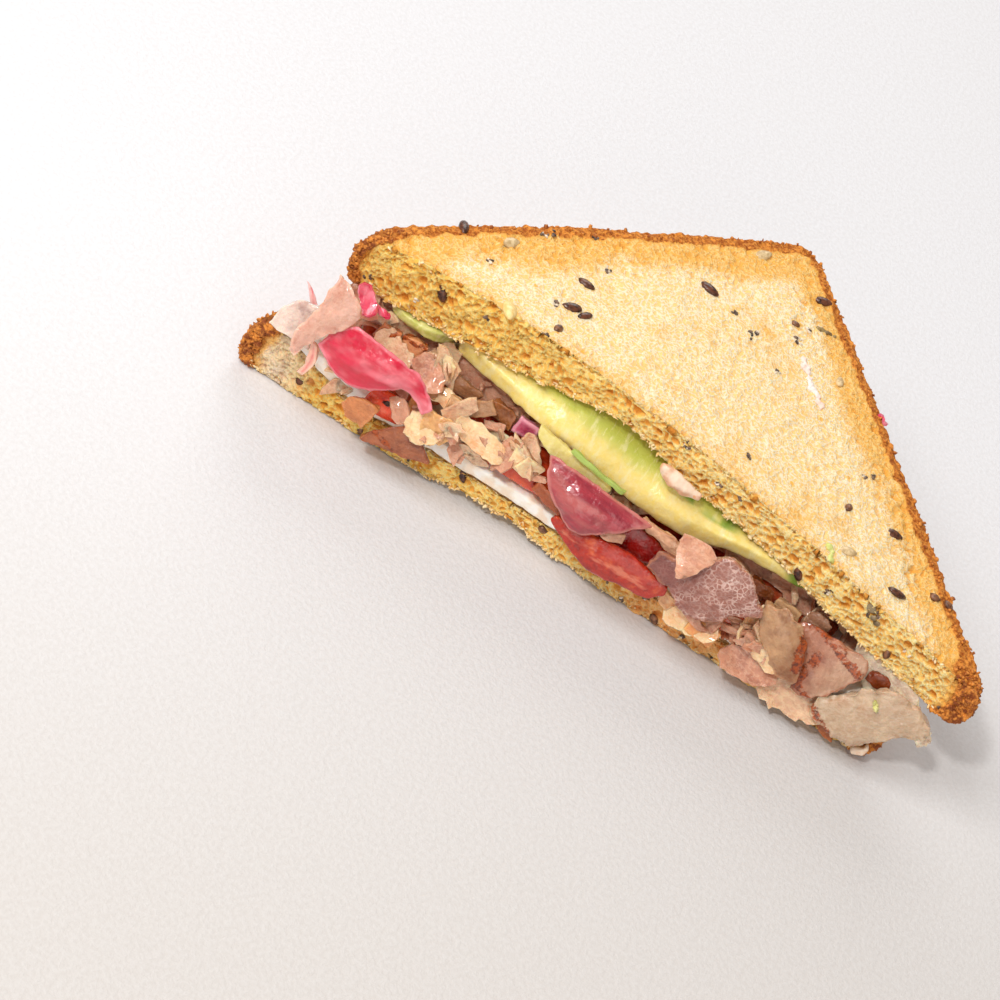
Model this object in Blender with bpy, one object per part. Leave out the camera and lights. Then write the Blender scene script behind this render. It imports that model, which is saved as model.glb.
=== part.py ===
"""Half of a club sandwich: two toasted seeded slices, cut corner to corner, with their filling.

Lengths are in millimetres up to the last step, where a mesh is made in metres. Shapes are worked out
from the middle of the lower slice's cut edge: X runs along the cut, Y back to the uncut corner, Z up.
The part's origin is on the floor under the lower slice's middle, BACK_OF_CUT behind that edge.
"""

import math

import bmesh
import bpy
from mathutils import Matrix, Vector
from mathutils.bvhtree import BVHTree
from mathutils.noise import noise

MM = 0.001
GAP = 0.35  # clearance between neighbours
LAYER_GAP = 0.8  # clearance between layers, whose faces bend
ROOM = 0.8  # clearance cut from the heap round what lies in it

# Slices of bread
SIDE = 106.0  # side of a whole slice
CORNER = 10.0  # radius of its corners on the cut
UNCUT_CORNER = 6.0  # radius of the corner opposite the cut
THICK = 12.0  # slice at its crust
CRUST_ROUND = 1.6  # rounding of the crust's edges
HALF = SIDE / math.sqrt(2)  # cut corner to cut corner, from the middle, before rounding
TIP = HALF - CORNER * (math.sqrt(2) - 1)  # the same, on the rounded slice
BACK_OF_CUT = HALF / 3  # from the cut to the half slice's centroid
SQUEEZE = 22.0  # how far behind the cut the knife has pressed the crumb
BREAD_SEGMENTS = 18
BREAD_ROWS = 4

# Lower slice
LOWER_CUT_THICK = 5.6  # at the middle of the cut
LOWER_CURL = 3.2  # how far its cut edge lifts off the floor
LOWER_CURL_X = -14.0
LOWER_CURL_WIDTH = 14.0
LOWER_CURL_DEPTH = 20.0
LOWER_PINCH = 2.2  # how much thinner its cut edge is there

# Upper slice: it sits askew on the filling, lower at its right end
UPPER_X, UPPER_Y = 8.9, 4.75
UPPER_YAW = math.radians(-3.15)
UPPER_TOP = 36.84
UPPER_RISE = 0.015  # per millimetre towards the corner
UPPER_FALL = 0.090  # per millimetre to the right
UPPER_ARCH = 5.72  # droop of both ends
UPPER_SKEW = 3.0  # the left end droops more
UPPER_HOLLOW = 1.9  # how far its cut edge bows inwards
UPPER_LEFT_THICK, UPPER_MID_THICK, UPPER_RIGHT_THICK = 12.3, 8.0, 9.7
SCOOP, SCOOP_X, SCOOP_WIDTH = 2.7, -12.0, 8.0  # dent over the sauce

# Layers
CHEESE_THICK = 2.5
CHEESE_LEVEL_LEFT, CHEESE_LEVEL_RIGHT = 10.0, 7.6
LAYER_INSET = 3.0
TOMATO_THICK = 2.9
TOMATO_SEGMENTS = 6
TOMATO_FRONT = 0.2  # its cut edge, behind that of the lower slice

# Avocado: lengthwise slices on the filling, whose front edge thickens and steps down over its middle
AVOCADO_THICK = 3.4
AVOCADO_LEAST = 1.6
AVOCADO_APART = 0.9
AVOCADO_SPACING = 6.5  # of the places where its shape is worked out
AVOCADO_SLOPE = 0.9  # of its upper face, up from the front edge
AVOCADO_BLUNT = 0.55  # how far its ends narrow
AVOCADO_FRONT = 3.6  # its front edge behind the cut, on the right
AVOCADO_FRONT_BACK = 4.0  # as much again at the left end
AVOCADO_LEVEL = 22.9  # underside at the front edge
AVOCADO_STEP = 3.8
AVOCADO_DIP, AVOCADO_DIP_X, AVOCADO_DIP_WIDTH = 1.3, -31.0, 5.0
AVOCADO_EDGE, AVOCADO_EDGE_MORE = 2.4, 1.6
AVOCADO_SWELL, AVOCADO_SWELL_X, AVOCADO_SWELL_WIDTH = 1.6, 12.0, 8.0

# The leaning face of the filling, where the knife went through
FACE_LEAN = math.radians(18.0)
FACE_FOOT = -2.5
LAY = Vector((-0.06, -0.729, 0.682))  # the way in which pieces are laid on it, out and up
LAY_STEP = 0.25
LAY_REACH = 14.0

# Heap of shredded ham
HEAP_GAP = 1.1  # over the cheese and under the upper slice
HEAP_BEHIND = 5.5  # behind that face
HEAP_INSET = 5.5  # in from the crust
HEAP_NARROW = 0.97
HEAP_BELLY = 1.2
HEAP_LEFT_TOP = 22.0  # its top beyond the upper slice's left end
HEAP_LEAN_DEPTH = 30.0  # how far back the lean of the cut face still tells
HEAP_SEGMENTS = 14
HEAP_ROWS = 3

BROAD = 6.0  # flakes wider than this bend across as well

PALE, PINK, SMOKED = "ham_pale", "ham_pink", "ham_smoked"

COLOURS = {  # red, green, blue, roughness
    "toasted_bread": (0.80, 0.55, 0.24, 0.85),
    "cheese": (0.86, 0.80, 0.70, 0.45),
    "tomato": (0.62, 0.06, 0.02, 0.2),
    "avocado": (0.66, 0.66, 0.20, 0.45),
    "onion": (0.62, 0.07, 0.20, 0.3),
    PALE: (0.78, 0.56, 0.40, 0.4),
    PINK: (0.66, 0.36, 0.28, 0.35),
    SMOKED: (0.45, 0.22, 0.17, 0.35),
    "turkey": (0.80, 0.68, 0.56, 0.4),
    "sauce": (0.85, 0.62, 0.52, 0.25),
}


def smooth(value, start, end):
    """0 before start, 1 after end, and an S curve between them."""
    t = min(1.0, max(0.0, (value - start) / (end - start)))
    return t * t * (3.0 - 2.0 * t)


def bump(value, middle, width):
    return math.exp(-(((value - middle) / width) ** 2))


# ---------------------------------------------------------------- surfaces of the two slices


def lower_under(x, y):
    fade = max(0.0, 1.0 - y / LOWER_CURL_DEPTH)
    return LOWER_CURL * bump(x, LOWER_CURL_X, LOWER_CURL_WIDTH) * fade * fade


def lower_top(x, y):
    ends = smooth(abs(x), 0.72 * TIP, 0.94 * TIP)
    at_cut = LOWER_CUT_THICK + (THICK - LOWER_CUT_THICK) * ends
    at_cut -= LOWER_PINCH * bump(x, LOWER_CURL_X, LOWER_CURL_WIDTH)
    return lower_under(x, y) + at_cut + (THICK - at_cut) * smooth(y, 0.0, SQUEEZE)


def upper_hollow(x, y):
    return UPPER_HOLLOW * max(0.0, 1.0 - (x / TIP) ** 2) * max(0.0, 1.0 - y / (2 * SQUEEZE))


def upper_height(x, y):
    """Top surface in the slice's own axes."""
    far = x / HALF
    return UPPER_TOP + UPPER_RISE * y - UPPER_FALL * x - UPPER_ARCH * far**2 + UPPER_SKEW * far**3


def upper_thick(x, y):
    left = smooth(-x, 0.17 * TIP, 0.75 * TIP)
    right = smooth(x, 0.35 * TIP, 0.65 * TIP)
    at_cut = UPPER_MID_THICK + (UPPER_LEFT_THICK - UPPER_MID_THICK) * left
    at_cut += (UPPER_RIGHT_THICK - UPPER_MID_THICK) * right - SCOOP * bump(x, SCOOP_X, SCOOP_WIDTH)
    return at_cut + (THICK - at_cut) * smooth(y, UPPER_HOLLOW, SQUEEZE)


def upper_to_part(x, y):
    c, s = math.cos(UPPER_YAW), math.sin(UPPER_YAW)
    return c * x - s * y + UPPER_X, s * x + c * y + UPPER_Y


def part_to_upper(x, y):
    c, s = math.cos(UPPER_YAW), math.sin(UPPER_YAW)
    x, y = x - UPPER_X, y - UPPER_Y
    return c * x + s * y, -s * x + c * y


def upper_under(x, y):
    """Underside of the upper slice, at a place in the part."""
    x, y = part_to_upper(x, y)
    return upper_height(x, y) - upper_thick(x, y)


def cheese_top(x, y):
    level = CHEESE_LEVEL_LEFT + (CHEESE_LEVEL_RIGHT - CHEESE_LEVEL_LEFT) * smooth(x, -5.0, 20.0)
    return max(lower_top(x, y) + LAYER_GAP + CHEESE_THICK, level)


# ---------------------------------------------------------------- avocado


def avocado_front(x):
    """How far behind the lower slice's cut edge the avocado's front edge lies."""
    return AVOCADO_FRONT + AVOCADO_FRONT_BACK * smooth(-x, 12.0, 32.0)


def avocado_front_low(x):
    step = AVOCADO_STEP * smooth(x, -9.0, 8.0) * (1.0 - smooth(x, 20.0, 26.0))
    return AVOCADO_LEVEL - step - AVOCADO_DIP * bump(x, AVOCADO_DIP_X, AVOCADO_DIP_WIDTH)


def avocado_front_high(x):
    thick = AVOCADO_EDGE + AVOCADO_EDGE_MORE * smooth(x, -2.0, 16.0) * (1.0 - smooth(x, 20.0, 26.0))
    return avocado_front_low(x) + thick + AVOCADO_SWELL * bump(x, AVOCADO_SWELL_X, AVOCADO_SWELL_WIDTH)


def avocado_top(x, y):
    rise = avocado_front_high(x) + AVOCADO_SLOPE * (y - avocado_front(x))
    return min(rise, upper_under(x, y) - GAP)


def avocado_under(x, y):
    back = upper_under(x, max(y, SQUEEZE)) - GAP - AVOCADO_THICK
    front = avocado_front_low(x)
    level = front + (back - front) * smooth(y, avocado_front(x), SQUEEZE)
    return min(level, avocado_top(x, y) - AVOCADO_LEAST)


def bow(x, reach, middle, curve):
    """A long edge, bowed back to its full reach at the middle."""
    return reach - curve * (x - middle) ** 2


# ---------------------------------------------------------------- making meshes


def new_object(name, bm, slot, collection):
    """Moves the mesh to the part's origin, in metres, and links it as one named object."""
    for vert in bm.verts:
        vert.co = Vector((vert.co.x, vert.co.y - BACK_OF_CUT, vert.co.z)) * MM
    bmesh.ops.recalc_face_normals(bm, faces=bm.faces)
    mesh = bpy.data.meshes.new(name)
    bm.to_mesh(mesh)
    bm.free()
    mesh.materials.append(material(slot))
    obj = bpy.data.objects.new(name, mesh)
    collection.objects.link(obj)
    return obj


def material(slot):
    if slot in bpy.data.materials:
        return bpy.data.materials[slot]
    mat = bpy.data.materials.new(slot)
    mat.use_nodes = True
    shader = mat.node_tree.nodes["Principled BSDF"]
    red, green, blue, roughness = COLOURS[slot]
    shader.inputs["Base Color"].default_value = (red, green, blue, 1.0)
    shader.inputs["Roughness"].default_value = roughness
    shader.inputs["Metallic"].default_value = 0.0
    return mat


def block(across, along, rows):
    """A unit block, X and Y from -1 to 1 and Z from 0 down to -1, with its faces cut into a grid."""
    bm = bmesh.new()
    bmesh.ops.create_grid(bm, x_segments=across, y_segments=along, size=1.0)
    extrude_down(bm, rows)
    return bm


def extrude_down(bm, rows):
    lower = bmesh.ops.extrude_face_region(bm, geom=bm.faces[:])["geom"]
    for item in lower:
        if isinstance(item, bmesh.types.BMVert):
            item.co.z -= 1.0
    upright = [e for e in bm.edges if abs(e.verts[0].co.z - e.verts[1].co.z) > 0.5]
    if rows > 1:
        bmesh.ops.subdivide_edges(bm, edges=upright, cuts=rows - 1, use_grid_fill=True)


def half_slice(segments, rows):
    """A block over half a square: its diagonal on the X axis and its uncut corner at +Y. Side 2."""
    bm = bmesh.new()
    bmesh.ops.create_grid(bm, x_segments=segments, y_segments=segments, size=1.0)
    bmesh.ops.rotate(bm, verts=bm.verts, matrix=Matrix.Rotation(math.radians(45.0), 3, "Z"))
    geom = bm.verts[:] + bm.edges[:] + bm.faces[:]
    bmesh.ops.bisect_plane(bm, geom=geom, dist=1e-4, plane_co=(0, 0, 0), plane_no=(0, 1, 0), clear_inner=True)
    extrude_down(bm, rows)
    return bm


def on_slice(co, inset):
    """Place on a half slice with round corners, inset from its crust. Returns x, y in millimetres."""
    root = math.sqrt(0.5)
    p, q = root * (co.x + co.y), root * (co.y - co.x)
    size = SIDE / 2 - inset
    p, q = p * size, q * size
    radius = UNCUT_CORNER if min(p, q) > 0.0 else CORNER
    flat = size - radius
    if abs(p) > flat and abs(q) > flat:
        u, v = (abs(p) - flat) / radius, (abs(q) - flat) / radius
        p = math.copysign(flat + radius * u * math.sqrt(1 - v * v / 2), p)
        q = math.copysign(flat + radius * v * math.sqrt(1 - u * u / 2), q)
    return root * (p - q), root * (p + q)


def at_crust(co):
    root = math.sqrt(0.5)
    return max(abs(root * (co.x + co.y)), abs(root * (co.y - co.x))) > 1.0 - 1e-3


def bread(name, askew, collection):
    """A half slice. The upper one is askew; the lower one lies square on the floor."""
    bm = half_slice(BREAD_SEGMENTS, BREAD_ROWS)
    for vert in bm.verts:
        depth = 0.5 - 0.5 * math.cos(math.pi * -vert.co.z)
        inset = 0.0
        if at_crust(vert.co):
            inset = CRUST_ROUND * (1.0 - math.sqrt(max(0.0, 1.0 - (2.0 * depth - 1.0) ** 2)))
        x, y = on_slice(vert.co, inset)
        if askew:
            y += upper_hollow(x, y)
            z = upper_height(x, y) - depth * upper_thick(x, y)
            x, y = upper_to_part(x, y)
        else:
            z = lower_top(x, y) + depth * (lower_under(x, y) - lower_top(x, y))
        vert.co = Vector((x, y, z))
    return new_object(name, bm, "toasted_bread", collection)


def cheese(collection):
    bm = half_slice(14, 1)
    for vert in bm.verts:
        x, y = on_slice(vert.co, LAYER_INSET)
        under = lower_top(x, y) + LAYER_GAP
        z = under if vert.co.z < -0.5 else cheese_top(x, y)
        vert.co = Vector((x, y, z))
    return new_object("cheese_slab", bm, "cheese", collection)


def round_slice(name, centre, radius, grow, collection):
    """A tomato slice laid on the cheese, with its front cut off square where the knife went."""
    bm = block(TOMATO_SEGMENTS, TOMATO_SEGMENTS, 1)
    for vert in bm.verts:
        u, v = vert.co.x, vert.co.y
        reach = radius + grow
        x = centre[0] + reach * u * math.sqrt(1 - v * v / 2)
        y = centre[1] + reach * v * math.sqrt(1 - u * u / 2)
        y = max(y, TOMATO_FRONT + 0.1 * abs(x - centre[0]) - grow)
        low = cheese_top(x, y) + LAYER_GAP
        high = low + TOMATO_THICK
        z = low - 6 * grow if vert.co.z < -0.5 else high + grow
        vert.co = Vector((x, y, z))
    return new_object(name, bm, "tomato", collection)


def avocado(name, start, end, front, back, grow, collection):
    """A lengthwise slice of avocado between heap and upper slice. With no front edge it starts at the cut."""
    bm = block(max(4, round((end - start) / AVOCADO_SPACING)), 4, 1)
    for vert in bm.verts:
        u, v = vert.co.x, vert.co.y
        x = 0.5 * (start + end) + u * (0.5 * (end - start) + grow)
        blunt = 1.0 - AVOCADO_BLUNT * abs(u) ** 5
        near = bow(x, *front) + AVOCADO_APART if front else avocado_front(x)
        far = bow(x, *back)
        y = 0.5 * (near + far) + v * (0.5 * (far - near) * blunt + grow)
        y_read = min(max(y, near), far)
        under, top = avocado_under(x, y_read), avocado_top(x, y_read)
        z = under - grow if vert.co.z < -0.5 else top + 8 * grow
        vert.co = Vector((x, y, z))
    return new_object(name, bm, "avocado", collection)


def heap_outline(x, y):
    """How far the shredded ham stands in or out of its mean outline."""
    return 1.6 * noise(Vector((x, y, 0.0)) * 0.11) + 0.8 * noise(Vector((x, y, 9.0)) * 0.31)


def heap(collection):
    bm = half_slice(HEAP_SEGMENTS, HEAP_ROWS)
    for vert in bm.verts:
        depth = -vert.co.z
        edge = at_crust(vert.co)
        x, y = on_slice(vert.co, HEAP_INSET)
        x *= HEAP_NARROW
        y_read = y
        if edge:
            push = HEAP_BELLY * math.sin(math.pi * depth) + heap_outline(x, y + 20 * depth)
            x, y = x + 0.6 * push * math.copysign(1.0, x), y + 0.6 * push
        low = cheese_top(x, y_read) + HEAP_GAP
        high = upper_under(x, y_read) - HEAP_GAP
        if x < -0.8 * TIP:
            high = min(high, HEAP_LEFT_TOP)
        z = high + depth * (low - high)
        lean = FACE_FOOT + z * math.tan(FACE_LEAN) + HEAP_BEHIND
        y += (lean + 0.8 * heap_outline(x, z)) * max(0.0, 1.0 - y_read / HEAP_LEAN_DEPTH)
        low_now, high_now = cheese_top(x, y) + HEAP_GAP, upper_under(x, y) - HEAP_GAP
        vert.co = Vector((x, y, min(max(z, low_now), high_now)))
    return new_object("ham_heap", bm, PINK, collection)


def cut(target, cutters):
    """Cuts every solid in the cutters' collection out of the target."""
    modifier = target.modifiers.new("room_for_layers", "BOOLEAN")
    modifier.operation = "DIFFERENCE"
    modifier.solver = "EXACT"
    modifier.operand_type = "COLLECTION"
    modifier.collection = cutters
    for cutter in cutters.objects:
        cutter.hide_render = True
        cutter.display_type = "WIRE"


# ---------------------------------------------------------------- pieces laid on the cut face


def on_face(x, up, out):
    """A place on the leaning face: across, up along the face, and outwards."""
    foot = Vector((x, FACE_FOOT + up * math.sin(FACE_LEAN), up * math.cos(FACE_LEAN)))
    return foot + out * LAY


def along(stations, t):
    """Catmull-Rom curve through the stations, t from 0 to 1."""
    last = len(stations) - 1
    place = min(t * last, last - 1e-9)
    i = int(place)
    f = place - i
    p1, p2 = stations[i], stations[i + 1]
    p0 = stations[i - 1] if i > 0 else [2 * a - b for a, b in zip(p1, p2)]
    p3 = stations[i + 2] if i + 2 <= last else [2 * b - a for a, b in zip(p1, p2)]
    return [
        0.5 * (2 * b + (c - a) * f + (2 * a - 5 * b + 4 * c - d) * f * f + (3 * b - a - 3 * c + d) * f**3)
        for a, b, c, d in zip(p0, p1, p2, p3)
    ]


def ribbon(stations, thick, belly, out, grow):
    """A bent flake through stations of (x, up) for one edge, (x, up) for the other, and its own depth."""
    steps = 2 * (len(stations) - 1)
    across = 3 if max(math.hypot(s[2] - s[0], s[3] - s[1]) for s in stations) > BROAD else 2
    bm = bmesh.new()
    bmesh.ops.create_grid(bm, x_segments=steps, y_segments=across, size=1.0)
    for vert in bm.verts:
        t, v = 0.5 + 0.5 * vert.co.x, vert.co.y
        x0, up0, x1, up1, depth = along(stations, t)
        half = 0.5 * math.hypot(x1 - x0, up1 - up0)
        v *= 1.0 + grow / max(half, 0.3)
        x = 0.5 * (x0 + x1) + 0.5 * v * (x1 - x0)
        up = 0.5 * (up0 + up1) + 0.5 * v * (up1 - up0)
        bulge = belly * (1.0 - min(1.0, v * v)) * (1.0 - (2.0 * t - 1.0) ** 2)
        vert.co = on_face(x, up, out + depth + bulge)
    bmesh.ops.recalc_face_normals(bm, faces=bm.faces)
    full = thick + 2.0 * grow
    for vert in bm.verts:
        vert.co += vert.normal * full * 0.5
    bmesh.ops.solidify(bm, geom=bm.faces[:], thickness=full)
    return bm


def lay(name, slot, thick, belly, start, stations, laid, collection):
    """Lays a flake on the pieces already there: it comes outwards until it clears them all."""
    out = start
    while out < start + LAY_REACH:
        probe = ribbon(stations, thick, belly, out, GAP)
        tree = BVHTree.FromBMesh(probe)
        probe.free()
        if not any(tree.overlap(other) for other in laid):
            break
        out += LAY_STEP
    bm = ribbon(stations, thick, belly, out, 0.0)
    laid.append(BVHTree.FromBMesh(bm))
    return new_object(name, bm, slot, collection)


def tree_of(obj, graph):
    """The surface of a finished object, back in millimetres from the cut edge."""
    bm = bmesh.new()
    bm.from_mesh(obj.evaluated_get(graph).to_mesh())
    for vert in bm.verts:
        vert.co = vert.co / MM + Vector((0.0, BACK_OF_CUT, 0.0))
    tree = BVHTree.FromBMesh(bm)
    bm.free()
    return tree


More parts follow.
